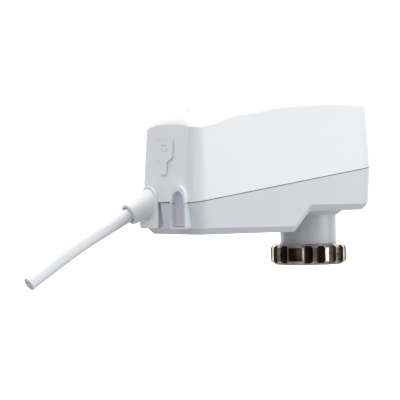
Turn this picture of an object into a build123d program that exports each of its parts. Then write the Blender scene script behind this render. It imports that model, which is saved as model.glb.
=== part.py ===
"""Motorised actuator head for a heating valve, modelled in millimetres.

+Z is up and +X runs from the cable end to the valve end. The origin is on the axis of the
union nut, in the nut's lower face, which is where the valve's thread enters.
"""

from build123d import *

import math
import os

# ---------------------------------------------------------------- driving dimensions

# Housing envelope, measured where the cover meets the base
CABLE_END_X = -80.2
NUT_END_X = 23.5
BODY_WIDTH = 49.8
CABLE_CORNER_R = 7.6
NUT_CORNER_R = 9.4
GIRTH_Z = 42.9
GIRTH_SLOPE = 0.15
WALL = 2.2
PARTING_GAP = 0.36
OVERLAP = 0.5

# Wall draft, in millimetres of inset for each millimetre of height
COVER_DRAFT = 0.045
COVER_BOW = 0.0006
BASE_DRAFT = 0.06
BASE_END_DRAFT = 0.15

# Underside of the base
DEEP_FLOOR_Z = 16.3
SHALLOW_FLOOR_Z = 25.7
STEP_FOOT_X = -22.8
STEP_HEAD_X = -13.9
STEP_ROUND = 2.5
UNDER_CHAMFER = 3.0

# Crown of the cover: stations of x, ridge height, and how far the surface drops at the half width
CROWN = [
    (CABLE_END_X - 9.8, 52.5, 0.9),
    (CABLE_END_X + 2.0, 66.0, 2.7),
    (CABLE_END_X + 5.6, 70.7, 7.7),
    (-71.0, 72.3, 8.8),
    (-62.0, 74.0, 7.9),
    (-50.0, 76.2, 7.3),
    (-36.0, 78.5, 7.2),
    (-18.0, 79.4, 6.0),
    (4.0, 79.7, 5.7),
    (16.0, 79.2, 5.5),
    (29.0, 78.2, 5.6),
]
CROWN_POWER = 3
CROWN_STEPS = 4
CROWN_SPARE = 6.0
CROWN_LID = 60.0
CREASE_FILLET = 0.9

# Cable entries: a rim round the blanked one, and the boot's flange over the other
ENTRY_Y = 13.2
ENTRY_SPRING_Z = 31.1
FRAME_FACE_X = CABLE_END_X - 1.4
FRAME_BACK_X = CABLE_END_X + 4.4
FRAME_WALL = 3.0
FRAME_BOTTOM_Z = 19.0
SILL = 1.0
RIM_R = 6.5
RIM_RISE = 1.2
BLANK_OPENING_R = 5.2
BLANK_RECESS = 1.6
BLANK_CLEAR = 0.25
FLANGE_R = 7.7
FLANGE_CORNER = 1.0
BOOT_OPENING_R = 6.6
BOOT_WALL_R = 8.6
BOOT_CLEAR = 0.12
BOOT_RELIEF = 2.7
BOOT_RELIEF_X = CABLE_END_X + 3.6
LUG_THICK = 1.4
LUG_LIP = 1.0
LIP_REACH_Y = BODY_WIDTH / 2 - 5.2
REBATE = 0.35
REBATE_DEPTH = 0.8

# Strain relief boot and cable
BOOT_ANGLE = 27.3
BOOT_MOUTH = (CABLE_END_X - 11.65, 25.6)
BOOT_ROOT_Z = 31.2
BOOT_ROOT_R = 6.7
BOOT_TIP_R = 5.1
BOOT_MOUTH_R = 3.9
BOOT_MOUTH_DEPTH = 1.6
BOOT_SINK = 1.2
BOOT_ROUND = 0.5
CABLE_R = 3.2
CABLE_START_RUN = 13.5
CABLE_ROUTE = [(CABLE_END_X - 37.3, 12.4), (CABLE_END_X - 50.8, 4.1), (CABLE_END_X - 63.9, -4.3)]
RADIUS_SHARE = 0.45
CORE_R = 0.75
CORE_RING_R = 1.3
CORE_DEPTH = 3.0
CORE_STUB = 0.05
CORE_COUNT = 3

# Relief pad on the cable end, above the entries: a wide head on a narrow stem, with a groove round it
PAD_PROUD = 0.55
PAD_MIDDLE_Y = 1.5
PAD_TOP_Z = 59.7
PAD_HEAD_Z = 50.6
PAD_FOOT_Z = 43.8
PAD_HALF = 7.3
PAD_SHOULDER = 1.2
PAD_STEP = 0.5
PAD_STEM_HALF = 2.7
PAD_CORNER = 0.9
PAD_GROOVE = 0.5
PAD_GROOVE_DEPTH = 0.4
PAD_OVAL = (2.8, 1.6)
PAD_OVAL_Z = 55.9
PAD_OVAL_WIDTH = 0.5

# Neck sleeve and the boss around it
NECK_R = 13.45
NECK_END_Z = 5.6
NECK_FLANGE_R = 16.8
NECK_FLANGE_THICK = 2.2
NECK_CUP_R = 10.6
NECK_WEB_Z = 20.6
NECK_WEB_THICK = 5.4
NECK_HOLE_CLEAR = 0.05
BOSS_R = 17.3
BOSS_TIP_R = 14.0
BOSS_TIP_Z = 23.6
NECK_SCREW_CIRCLE_R = 15.2
NECK_SCREW_ANGLES = [40, 140, 220, 320]

# Union nut, with its washer and retaining ring
NUT_R = 18.0
NUT_HEIGHT = 10.0
NUT_CHAMFER = 1.8
THREAD_MINOR_R = 14.19
THREAD_LENGTH = 5.5
NUT_RELIEF_R = 14.75
NUT_LIP = 1.9
NUT_LIP_CLEAR = 0.2
FLUTE_DEPTH = 1.0
FLUTE_TOP = 4.0
FLUTE_FLOOR = 2.5
FLUTE_PITCHES = 18
LAND_EVERY = 6
LAND_ANGLE = 214.0
RING_WIRE = 1.0
RING_OUTER_R = NECK_R + 0.65
RING_GAP_ANGLE = 30.0
WASHER_THICK = 0.5
WASHER_RIM_CLEAR = 0.15
RUNNING = 0.05
TOUCH = 0.02

# Output spindle
PUSHER_R = 7.0
PUSHER_FACE_Z = 8.0
PUSHER_THICK = 3.2
PUSHER_PIN_R = 3.0
HEX_FLATS = 9.0
HEX_CLEAR = 0.06
HEX_TOP_Z = 33.2
SCREW_R = 4.0
SCREW_TOP_Z = 49.0

# Gearbox plates
PLATE_THICK = 1.5
BASE_PLATE_Z = 35.4
TOP_PLATE_Z = 53.4
PLATE_CABLE_X = -68.9
PLATE_HALF = 20.0
PLATE_SHOULDER_X = 8.0
PLATE_NOSE_X = 20.0
PLATE_NOSE_HALF = 13.2
PLATE_CORNER = 2.5
PILLAR_R = 1.6

# Gears: levels, tooth form, and for each stage its module, small and large teeth and face
LEVEL_1_Z = 38.6
LEVEL_2_Z = 44.4
LEVEL_3_Z = 48.4
PRESSURE_ANGLE = 25.0
ADDENDUM = 0.8
DEDENDUM = 1.08
BACKLASH = 0.07
STAGE_A = (0.5, 10, 44, 2.4)
STAGE_B = (0.7, 12, 43, 2.6)
STAGE_C = (0.8, 12, 41, 3.0)
STAGE_D = (1.0, 12, 36, 5.0)
PINION_EXTRA = 0.5
GEAR_GAP = 0.1
GEAR_1_X = -64.4
MOTOR_BEARING = -32.0
ARBOR_R = 1.0
HUB_R = 2.4
DRIVE_HUB_R = 6.4
DRIVE_JOURNAL_R = 5.6

# Thrust bearing on top of the drive gear
RACE_THICK = 0.7
RACE_BORE_R = 4.6
RACE_R = 7.2
BALL_R = 0.75
BALL_COUNT = 12
BALL_CIRCLE_R = 5.9
CAGE_THICK = 0.8
CAGE_MARGIN = 0.1

# Motor
CAN_R = 12.4
CAN_BOTTOM_Z = 19.6
MOTOR_FLANGE = 1.0
MOTOR_EAR = 15.6
MOTOR_EAR_R = 3.2
SHAFT_R = 1.0
SHAFT_BOTTOM_Z = 30.0
MOTOR_BOSS_R = 3.4
MOTOR_BOSS_TOP_Z = 37.2
CAN_EDGE_R = 1.2
SHAFT_END_ROOM = 0.1
BOSS_FLOOR = 0.2
SHAFT_PROUD = 0.2

# Override shaft and its plug in the cover
OVERRIDE_R = 2.2
OVERRIDE_JOURNAL_R = 1.4
OVERRIDE_COLLAR = (0.8, 1.2)
OVERRIDE_TOP_Z = 66.4
OVERRIDE_FLATS = 3.0
SOCKET_DEPTH = 4.0
PLUG_R = 2.3
PLUG_HEAD_R = 2.9
PLUG_PROUD = 0.3
PLUG_HEAD_THICK = 1.0
PLUG_LENGTH = 4.6
PLUG_EDGE_R = 0.3
PLUG_GROOVE_UP = 1.2
PLUG_RING_R = 0.5
PLUG_RING_DEPTH = 0.6
PLUG_RING_PROUD = 0.02

# Circuit board and what is on it
BOARD_Z = 58.6
BOARD_THICK = 1.6
BOARD_CABLE_X = -71.0
BOARD_NUT_X = 11.6
BOARD_HALF = 14.8
BOARD_CORNER = 2.0
BOARD_HOLE_CLEAR = 0.8
DIP_X = -36.0
DIP_Y = 8.0
DIP_COUNT = 4
DIP_PITCH = 2.54
DIP_DEPTH = 6.4
DIP_HEIGHT = 3.2
DIP_SLOT_WIDTH = 1.3
DIP_SLOT_DEPTH = 1.2
DIP_KNOB = 1.2
DIP_TRAVEL = 1.8
DIP_PROUD = 0.6
CAPACITOR_X = -12.0
CAPACITOR_R = 4.0
CAPACITOR_HEIGHT = 11.5
CHIP_X = -22.0
CHIP_SIZE = 7.0
CHIP_EDGE_Y = -4.0
CHIP_THICK = 1.0
LED_X = -48.0
LED_R = 1.5
LED_Y = -8.0
LED_STEM = 2.4
TERMINAL_X = -66.4
TERMINAL_Y = 9.0
TERMINAL_WAYS = 3
TERMINAL_PITCH = 3.5
TERMINAL_DEPTH = 6.4
TERMINAL_HEIGHT = 5.0
TERMINAL_SCREW_R = 1.1
TERMINAL_SCREW_Z = 2.5
TERMINAL_SCREW_DROP = 0.4
TERMINAL_SLOT = (0.4, 0.5)
LEAD_HOLE_DEPTH = 2.4
LEAD_R = 0.6
LEAD_EXIT_Y = 12.0
LEAD_EXIT_PITCH = 1.6
LEAD_Z = 1.2
LEAD_TURN_Z = 55.6
LEAD_RISE_X = -72.4
LEAD_BEND_R = 2.0

# Posts and screws
COVER_SCREW_CABLE_X = CABLE_END_X + 8.6
COVER_SCREW_NUT_X = NUT_END_X - 7.9
COVER_SCREW_CABLE_Y = BODY_WIDTH / 2 - 7.3
COVER_SCREW_NUT_Y = BODY_WIDTH / 2 - 7.7
COVER_SCREWS = [(COVER_SCREW_CABLE_X, -COVER_SCREW_CABLE_Y), (COVER_SCREW_CABLE_X, COVER_SCREW_CABLE_Y),
                (COVER_SCREW_NUT_X, -COVER_SCREW_NUT_Y), (COVER_SCREW_NUT_X, COVER_SCREW_NUT_Y)]
COVER_BOSS_R = 2.5
COVER_BOSS_RISE = 9.0
RIB = 1.6
COVER_SCREW_R = 1.25
COVER_SCREW_HEAD_R = 2.1
COVER_SCREW_KEY = 2.0
COVER_SCREW_CLEAR = 0.15
COVER_SCREW_HEAD = 1.8
COVER_SCREW_BITE = 7.0
COVER_SCREW_SEAT = 4.0
GEARBOX_POSTS = [(-66.6, -14.6), (-66.6, 14.6), (-36.5, -17.6), (-36.5, 17.6), (18.0, -11.0),
                 (18.0, 11.0)]
POST_R = 2.3
POST_SCREW_R = 0.9
POST_SCREW_BITE = 4.0
NECK_SCREW_SHORT = 1.2
SCREW_HEAD_R = 1.8
SCREW_HEAD = 1.0
BOARD_POSTS = [(-56.0, -12.4), (-56.0, 12.4), (8.0, -10.2), (8.0, 10.2)]
BOARD_POST_R = 2.0

# Gasket between cover and base
GASKET_OUT = 0.7
GASKET_WIDTH = 0.9
GASKET_GROOVE = 0.8
GASKET_EASE = 0.03

KEPT = {}


# ---------------------------------------------------------------- helpers


def keep(name, shape):
    """Remember a finished node."""
    KEPT[name] = shape
    return shape


def girth_z(x):
    """Height of the girth plane, where cover and base meet, at x."""
    return GIRTH_Z + GIRTH_SLOPE * x


def girth_plane(rise=0.0):
    """The inclined girth plane, raised by a height."""
    return Plane(
        origin=(0, 0, GIRTH_Z + rise), x_dir=(1, 0, GIRTH_SLOPE), z_dir=(-GIRTH_SLOPE, 0, 1)
    )


def outline(rise, side, cable_end, nut_end, corner_change):
    """Housing outline on the girth plane raised by rise, with its walls moved in."""
    stretch = math.hypot(1, GIRTH_SLOPE)
    x0 = (CABLE_END_X + cable_end) * stretch
    x1 = (NUT_END_X - nut_end) * stretch
    half = BODY_WIDTH / 2 - side
    sketch = make_face(
        Polyline((x0, -half), (x1, -half), (x1, half), (x0, half), close=True)
    )
    cable_corners = sketch.vertices().sort_by(Axis.X)[:2]
    sketch = fillet(cable_corners, max(CABLE_CORNER_R - corner_change, 1.0))
    nut_corners = sketch.vertices().sort_by(Axis.X)[-2:]
    sketch = fillet(nut_corners, max(NUT_CORNER_R - corner_change, 1.0))
    return girth_plane(rise) * sketch


def cover_block(inset):
    """Solid inside the cover's walls, above the girth plane, with its walls moved in."""
    top = max(ridge for _, ridge, _ in CROWN) - girth_z(CABLE_END_X) + 10
    sections = []
    for rise in (0, top / 2, top):
        lean = inset + COVER_DRAFT * rise + COVER_BOW * rise**2
        sections.append(outline(rise, lean, lean, lean, lean))
    return loft(sections)


def base_block(inset):
    """Solid inside the base's walls, below the girth plane, with its walls moved in."""
    depth = girth_z(NUT_END_X) - DEEP_FLOOR_Z + 10
    near = outline(0, inset, inset, inset, inset)
    side = inset + BASE_DRAFT * depth
    far = outline(-depth, side, inset + BASE_END_DRAFT * depth, side, side)
    return loft([near, far], ruled=True)


def crown_cutter(lower):
    """Everything above the crowned top, which is lowered by a distance."""
    half = BODY_WIDTH / 2
    reach = half + CROWN_SPARE
    lid = max(ridge for _, ridge, _ in CROWN) + CROWN_LID
    sections = []
    for x, ridge, drop in CROWN:
        line = []
        for step in range(-CROWN_STEPS, CROWN_STEPS + 1):
            y = reach * step / CROWN_STEPS
            line.append((x, y, ridge - lower - drop * (abs(y) / half) ** CROWN_POWER))
        rest = Polyline(line[-1], (x, reach, lid), (x, -reach, lid), line[0])
        sections.append(Wire(list(Spline(*line).edges()) + list(rest.edges())))
    return Solid.make_loft(sections, ruled=False)


def side_prism(points, half=BODY_WIDTH):
    """Prism across the body from an outline in the XZ plane."""
    face = make_face(Plane.XZ * Polyline(*points, close=True))
    return extrude(face, half, both=True)


def end_prism(face_2d, x0, x1):
    """Extrude a sketch drawn as (y, z) from x0 to x1."""
    plane = Plane(origin=(x0, 0, 0), x_dir=(0, 1, 0), z_dir=(1, 0, 0))
    return extrude(plane * face_2d, x1 - x0)


def arch(y, radius, bottom, rise=0.0):
    """Arched outline in (y, z) about an entry's centre, whose bow may start higher."""
    left, right = y - radius, y + radius
    spring = ENTRY_SPRING_Z + rise
    bow = ThreePointArc((left, spring), (y, spring + radius), (right, spring))
    legs = Polyline((right, spring), (right, bottom), (left, bottom), (left, spring))
    return make_face(list(bow.edges()) + list(legs.edges()))


def pillar(x, y, z0, z1, radius):
    """Upright cylinder between two heights."""
    return Pos(x, y, z0) * Cylinder(
        radius, z1 - z0, align=(Align.CENTER, Align.CENTER, Align.MIN)
    )


def ring(x, y, z0, z1, outer, inner):
    """Upright ring between two heights."""
    return pillar(x, y, z0, z1, outer) - pillar(x, y, z0 - 1, z1 + 1, inner)


def block(x0, x1, y0, y1, z0, z1):
    """Box between two corners."""
    return Pos((x0 + x1) / 2, (y0 + y1) / 2, (z0 + z1) / 2) * Box(x1 - x0, y1 - y0, z1 - z0)


def hexagon_prism(x, y, z0, z1, flats):
    """Upright hexagonal prism of a size across flats."""
    face = Pos(x, y, z0) * RegularPolygon(flats / 2, 6, major_radius=False)
    return extrude(face, z1 - z0)


def above_parting(inset=PARTING_GAP / 2):
    """Everything above the parting gap."""
    x0, x1 = CABLE_END_X - 30, NUT_END_X + 30
    return side_prism(
        [(x0, girth_z(x0) + inset), (x1, girth_z(x1) + inset), (x1, 120), (x0, 120)]
    )


def below_parting(inset=PARTING_GAP / 2):
    """Everything below the parting gap."""
    x0, x1 = CABLE_END_X - 30, NUT_END_X + 30
    return side_prism(
        [(x0, girth_z(x0) - inset), (x1, girth_z(x1) - inset), (x1, -20), (x0, -20)]
    )


def screw(x, y, seat_z, shank_r, bite, down=True):
    """Pan head screw whose head rests on seat_z, with its shank going down or up."""
    way = -1 if down else 1
    head = pillar(x, y, min(seat_z, seat_z - way * SCREW_HEAD), max(seat_z, seat_z - way * SCREW_HEAD),
                  SCREW_HEAD_R)
    shank = pillar(x, y, min(seat_z, seat_z + way * bite), max(seat_z, seat_z + way * bite), shank_r)
    return head + shank


# ---------------------------------------------------------------- gears


def tip_radius(module, teeth):
    """Outer radius of a gear."""
    return module * (teeth / 2 + ADDENDUM)


def centre_distance(stage):
    """Distance between the axes of a stage's two gears."""
    module, small, large, _ = stage
    return module * (small + large) / 2


def gear_face(module, teeth, turn):
    """Involute gear outline about the origin, with a tooth centred at the angle turn."""
    pitch_r = module * teeth / 2
    base_r = pitch_r * math.cos(math.radians(PRESSURE_ANGLE))
    root_r = pitch_r - module * DEDENDUM
    tip_r = tip_radius(module, teeth)
    flare = math.tan(math.radians(PRESSURE_ANGLE)) - math.radians(PRESSURE_ANGLE)
    half_tooth = (math.pi * module / 2 - BACKLASH) / (2 * pitch_r)

    def half_angle(radius):
        """Half the angle that a tooth takes up at a radius."""
        tilt = math.acos(min(base_r / radius, 1))
        return half_tooth + flare - (math.tan(tilt) - tilt)

    low_r = max(base_r, root_r)
    mid_r = (low_r + tip_r) / 2
    edges = []
    step = 2 * math.pi / teeth

    def at(radius, angle):
        """Point at a radius and an angle."""
        return (radius * math.cos(angle), radius * math.sin(angle))

    for tooth in range(teeth):
        centre = math.radians(turn) + tooth * step
        rise = [at(r, centre - half_angle(r)) for r in (low_r, mid_r, tip_r)]
        fall = [at(r, centre + half_angle(r)) for r in (tip_r, mid_r, low_r)]
        root_in = at(root_r, centre - half_angle(low_r))
        root_out = at(root_r, centre + half_angle(low_r))
        root_next = at(root_r, centre + step - half_angle(low_r))
        if low_r > root_r + 0.001:
            edges.append(Line(root_in, rise[0]))
        edges.append(ThreePointArc(*rise))
        edges.append(ThreePointArc(rise[2], at(tip_r, centre), fall[0]))
        edges.append(ThreePointArc(*fall))
        if low_r > root_r + 0.001:
            edges.append(Line(fall[2], root_out))
        edges.append(ThreePointArc(root_out, at(root_r, centre + step / 2), root_next))
    return make_face(edges)


def gear(x, y, z0, z1, module, teeth, turn):
    """Solid spur gear about an upright axis."""
    return Pos(x, y, z0) * extrude(gear_face(module, teeth, turn), z1 - z0)


def bearing_deg(from_xy, to_xy):
    """Direction from one axis to another, in degrees."""
    return math.degrees(math.atan2(to_xy[1] - from_xy[1], to_xy[0] - from_xy[0]))


def mesh_turn(teeth, own_xy, other_xy):
    """Turn that puts a tooth gap on the line to another axis."""
    return bearing_deg(own_xy, other_xy) + 180 / teeth


def joint_point(a, b, reach_a, reach_b, side):
    """Point at two given distances from two points, on the side that is asked for."""
    apart = math.dist(a, b)
    along = (reach_a**2 - reach_b**2 + apart**2) / (2 * apart)
    off = side * math.sqrt(max(reach_a**2 - along**2, 0))
    ux, uy = (b[0] - a[0]) / apart, (b[1] - a[1]) / apart
    return (a[0] + along * ux - off * uy, a[1] + along * uy + off * ux)


AXIS_OUT = (0.0, 0.0)
AXIS_3 = (-centre_distance(STAGE_D), 0.0)
AXIS_1 = (GEAR_1_X, 0.0)
AXIS_2 = joint_point(AXIS_1, AXIS_3, centre_distance(STAGE_B), centre_distance(STAGE_C), 1)
AXIS_MOTOR = (
    AXIS_1[0] + centre_distance(STAGE_A) * math.cos(math.radians(MOTOR_BEARING)),
    AXIS_1[1] + centre_distance(STAGE_A) * math.sin(math.radians(MOTOR_BEARING)),
)

# ---------------------------------------------------------------- housing


def frame_prism(y, x0, x1, radius, bottom, rise=0.0):
    """Arched prism about a cable entry."""
    return end_prism(arch(y, radius, bottom, rise), x0, x1)


def entry_walls():
    """Rim round the blanked opening, and the thicker wall behind the boot's flange."""
    rim = frame_prism(-ENTRY_Y, FRAME_FACE_X, FRAME_BACK_X, RIM_R, FRAME_BOTTOM_Z, RIM_RISE)
    foot = [e for e in rim.edges().filter_by(Axis.X) if e.center().Z < FRAME_BOTTOM_Z + 1]
    rim = fillet(foot, FLANGE_CORNER)
    near, far = ENTRY_Y - BOOT_OPENING_R - BOOT_RELIEF - LUG_LIP, ENTRY_Y + BOOT_WALL_R
    wall = frame_prism(ENTRY_Y, FRAME_BACK_X - FRAME_WALL, FRAME_BACK_X, BOOT_WALL_R, FRAME_BOTTOM_Z)
    wall += block(FRAME_BACK_X - FRAME_WALL, FRAME_BACK_X, near, ENTRY_Y, FRAME_BOTTOM_Z, ENTRY_SPRING_Z)
    wall &= block(FRAME_BACK_X - FRAME_WALL, FRAME_BACK_X, near, min(far, wall_reach()), 0, GIRTH_Z)
    return rim + wall


def wall_reach():
    """How far out, across the body, the thicker wall may go without leaving the corner."""
    centre_x, centre_y = CABLE_END_X + CABLE_CORNER_R, BODY_WIDTH / 2 - CABLE_CORNER_R
    away = FRAME_BACK_X - FRAME_WALL - centre_x
    return centre_y + math.sqrt((CABLE_CORNER_R - OVERLAP) ** 2 - away**2)


def under_face(lift, y):
    """Outline in the XZ plane at y of all that is below the stepped underside, raised by a lift."""
    slope = (SHALLOW_FLOOR_Z - DEEP_FLOOR_Z) / (STEP_HEAD_X - STEP_FOOT_X)
    shift = lift * (math.hypot(1, slope) - 1) / slope
    low, high = DEEP_FLOOR_Z + lift, SHALLOW_FLOOR_Z + lift
    foot, head = STEP_FOOT_X - shift, STEP_HEAD_X - shift
    reach, depth = 150, -60
    face = make_face(
        Polyline((-reach, low), (foot, low), (head, high), (reach, high), (reach, depth),
                 (-reach, depth), close=True)
    )
    bends = [v for v in face.vertices() if -reach < v.X < reach]
    return Pos(0, y, 0) * (Plane.XZ * fillet(bends, STEP_ROUND))


def under_cutter(lift):
    """Everything below the stepped underside, which is raised by a lift."""
    return extrude(under_face(lift, 0), BODY_WIDTH, both=True)


def bevel_half():
    """Half width of the base where the underside's bevel meets its walls."""
    middle = (CABLE_END_X + NUT_END_X) / 2
    depth = girth_z(middle) - (DEEP_FLOOR_Z + SHALLOW_FLOOR_Z) / 2 - UNDER_CHAMFER
    return BODY_WIDTH / 2 - BASE_DRAFT * depth


def side_bevel(side):
    """Cutter for the 45 degree bevel along one side of the underside."""
    spare = 2
    inner = under_face(0, side * (bevel_half() - UNDER_CHAMFER))
    outer = under_face(UNDER_CHAMFER + spare, side * (bevel_half() + spare))
    return loft([inner, outer], ruled=True)


def end_bevel(floor_z, at_cable_end):
    """Cutter for the bevel round one end of the underside."""
    spare = 2
    middle = (CABLE_END_X + NUT_END_X) / 2
    top = floor_z + UNDER_CHAMFER
    if at_cable_end:
        wall = CABLE_END_X + BASE_END_DRAFT * (girth_z(CABLE_END_X) - top)
        corner = CABLE_CORNER_R
        zone = (CABLE_END_X - 20, CABLE_END_X + 18)
    else:
        wall = NUT_END_X - BASE_DRAFT * (girth_z(NUT_END_X) - top)
        corner = NUT_CORNER_R
        zone = (NUT_END_X - 18, NUT_END_X + 20)
    faces = []
    for inset, z in ((UNDER_CHAMFER, floor_z), (-spare, top + spare)):
        half = bevel_half() - inset
        reach = wall + inset if at_cable_end else wall - inset
        face = make_face(Polyline((reach, -half), (middle, -half), (middle, half), (reach, half), close=True))
        ends = sorted(face.vertices(), key=lambda v: abs(v.X - reach))[:2]
        faces.append(Pos(0, 0, z) * fillet(ends, corner - 1 - inset))
    keep_in = loft(faces, ruled=True)
    return block(*zone, -BODY_WIDTH, BODY_WIDTH, floor_z - 1, top + spare) - keep_in


def make_lower_housing():
    """Base of the housing: a drafted tray with a stepped floor, posts and cable entries."""
    body = base_block(0) - under_cutter(0)
    for side in (-1, 1):
        body -= side_bevel(side)
    body -= end_bevel(DEEP_FLOOR_Z, True)
    body -= end_bevel(SHALLOW_FLOOR_Z, False)
    body -= base_block(WALL) - under_cutter(WALL)
    for x, y in COVER_SCREWS:
        body += pillar(x, y, floor_top(x) - OVERLAP, girth_z(x), COVER_BOSS_R)
    for x, y in GEARBOX_POSTS:
        body += pillar(x, y, floor_top(x) - OVERLAP, BASE_PLATE_Z, POST_R)
    boss = Pos(0, 0, BOSS_TIP_Z) * Cone(
        BOSS_TIP_R, BOSS_R, SHALLOW_FLOOR_Z + 0.3 - BOSS_TIP_Z, align=(Align.CENTER, Align.CENTER, Align.MIN)
    )
    body += boss
    body -= pillar(0, 0, 0, 60, NECK_R + NECK_HOLE_CLEAR)
    body += entry_walls()
    body &= below_parting()
    body = cut_entries(body)
    for x, y in COVER_SCREWS:
        seat = floor_bottom(x) + COVER_SCREW_SEAT
        body -= pillar(x, y, 0, seat, COVER_SCREW_HEAD_R + COVER_SCREW_CLEAR)
        body -= pillar(x, y, 0, 90, COVER_SCREW_R + COVER_SCREW_CLEAR)
    for x, y in GEARBOX_POSTS:
        body -= pillar(x, y, BASE_PLATE_Z - POST_SCREW_BITE - 1, 60, POST_SCREW_R)
    for angle in NECK_SCREW_ANGLES:
        x, y = polar(NECK_SCREW_CIRCLE_R, angle)
        body -= pillar(x, y, neck_screw_tip(), 60, POST_SCREW_R)
    body -= gasket_ring(GASKET_GROOVE)
    near = ENTRY_Y - BOOT_OPENING_R
    body -= block(FRAME_FACE_X - 5, BOOT_RELIEF_X, near - BOOT_RELIEF, near + OVERLAP,
                  FRAME_BOTTOM_Z + SILL, GIRTH_Z)
    return keep("lower_housing", body)


def floor_top(x):
    """Height of the base's inside floor at x."""
    return (DEEP_FLOOR_Z if x < STEP_FOOT_X else SHALLOW_FLOOR_Z) + WALL


def floor_bottom(x):
    """Height of the base's underside at x."""
    return floor_top(x) - WALL


def polar(radius, angle):
    """Point in plan at a radius and an angle in degrees."""
    return (radius * math.cos(math.radians(angle)), radius * math.sin(math.radians(angle)))


def neck_screw_tip():
    """Height of the neck screws' tips."""
    return SHALLOW_FLOOR_Z + WALL - POST_SCREW_BITE + NECK_SCREW_SHORT


def gasket_ring(depth, ease=0.0):
    """Ring inside the wall across the parting gap, from a depth in the base, eased all round."""
    low, high = ease - PARTING_GAP / 2 - depth, PARTING_GAP / 2 - ease
    near, far = GASKET_OUT + ease, GASKET_OUT + GASKET_WIDTH - ease
    outer = [outline(rise, near, near, near, near) for rise in (low, high)]
    inner = [outline(rise, far, far, far, far) for rise in (low, high)]
    body = loft(outer, ruled=True) - loft(inner, ruled=True)
    x0, x1 = FRAME_FACE_X - 5, FRAME_BACK_X + 5
    blank = RIM_R + LUG_LIP + ease
    body -= block(x0, x1, -ENTRY_Y - blank, -ENTRY_Y + blank, 0, 60)
    near_y = ENTRY_Y - BOOT_OPENING_R - BOOT_RELIEF - LUG_LIP - ease
    body -= block(x0, x1, near_y, ENTRY_Y + BOOT_WALL_R + ease, 0, 60)
    return body


def cut_entries(body):
    """Cut the blanked opening and the boot's opening through the cable end."""
    sill = FRAME_BOTTOM_Z + SILL
    body -= frame_prism(-ENTRY_Y, FRAME_FACE_X - 5, FRAME_BACK_X + 4, BLANK_OPENING_R, sill)
    body -= frame_prism(ENTRY_Y, FRAME_FACE_X - 5, FRAME_BACK_X + 4, BOOT_OPENING_R, sill)
    return body


def make_upper_cover():
    """Crowned cover: a drafted shell with screw bosses, cable entries and the plug's hole."""
    body = cover_block(0) - crown_cutter(0)
    crease = [e for e in body.edges() if on_crease(e)]
    body = fillet(crease, CREASE_FILLET)
    body -= cover_block(WALL) - crown_cutter(WALL)
    for x, y in COVER_SCREWS:
        low, high = girth_z(x), girth_z(x) + COVER_BOSS_RISE
        body += pillar(x, y, low, high, COVER_BOSS_R)
        body += boss_rib(x, y, low, high)
    body += entry_walls()
    body += relief_pad()
    body -= relief_groove()
    body &= above_parting()
    body = cut_entries(body)
    low = girth_z(CABLE_END_X)
    body -= block(FRAME_FACE_X, CABLE_END_X + REBATE_DEPTH, RIM_R - ENTRY_Y, ENTRY_Y - FLANGE_R,
                  low, low + PARTING_GAP / 2 + REBATE)
    for x, y in COVER_SCREWS:
        body -= pillar(x, y, 0, girth_z(x) + COVER_SCREW_BITE + 1, COVER_SCREW_R + RUNNING)
    body -= pillar(GEAR_1_X, 0, 50, 90, PLUG_R + RUNNING)
    body -= pillar(GEAR_1_X, 0, plug_seat(), 90, PLUG_HEAD_R + RUNNING)
    return keep("upper_cover", body)


def on_crease(edge):
    """Whether an edge lies on the crease between the walls and the crown."""
    lowest = edge.bounding_box().min.Z
    return lowest > girth_z(NUT_END_X) + WALL and lowest > CROWN[1][1] - CROWN[2][2] - CREASE_FILLET


def boss_rib(x, y, z0, z1):
    """Rib between a screw boss beside a wall and that wall."""
    wall_y = math.copysign(BODY_WIDTH / 2 - WALL, y)
    return block(x - RIB / 2, x + RIB / 2, min(y, wall_y), max(y, wall_y), z0, z1)


def crown_z(x):
    """Height of the crown's ridge at x, between its stations."""
    for (x0, z0, _), (x1, z1, _) in zip(CROWN, CROWN[1:]):
        if x0 <= x <= x1:
            return z0 + (z1 - z0) * (x - x0) / (x1 - x0)
    return CROWN[-1][1]


def plug_seat():
    """Height of the plug's head seat in the crown."""
    return crown_z(GEAR_1_X) + PLUG_PROUD - PLUG_HEAD_THICK


def pad_face():
    """Outline of the relief pad in (y, z)."""
    middle, half, stem = PAD_MIDDLE_Y, PAD_HALF, PAD_STEM_HALF
    side = [(half, PAD_TOP_Z), (half, PAD_HEAD_Z + PAD_SHOULDER), (half - PAD_SHOULDER, PAD_HEAD_Z),
            (stem + PAD_SHOULDER / 2, PAD_HEAD_Z - PAD_STEP), (stem, PAD_HEAD_Z - PAD_STEP - PAD_SHOULDER),
            (stem, PAD_FOOT_Z)]
    points = [(middle + y, z) for y, z in side] + [(middle - y, z) for y, z in reversed(side)]
    face = make_face(Polyline(*points, close=True))
    return fillet([v for v in face.vertices() if v.Y > PAD_TOP_Z - 1 or v.Y < PAD_FOOT_Z + 1], PAD_CORNER)


def relief_pad():
    """Shallow pad standing proud of the cover's cable end, with an oval ring sunk in it."""
    wide, tall = PAD_OVAL
    oval = Ellipse(wide, tall) - Ellipse(wide - PAD_OVAL_WIDTH, tall - PAD_OVAL_WIDTH)
    face = pad_face() - Pos(PAD_MIDDLE_Y, PAD_OVAL_Z) * oval
    return end_prism(face, CABLE_END_X - 3, CABLE_END_X + 4) & cover_block(-PAD_PROUD)


def relief_groove():
    """Groove in the cover's cable end, round the relief pad."""
    band = offset(pad_face(), PAD_GROOVE) - pad_face()
    return end_prism(band, CABLE_END_X - 3, CABLE_END_X + 4) - cover_block(PAD_GROOVE_DEPTH)


def make_gasket():
    """Seal between cover and base, in the base's groove."""
    keep("housing_gasket", gasket_ring(GASKET_GROOVE, GASKET_EASE))


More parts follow.
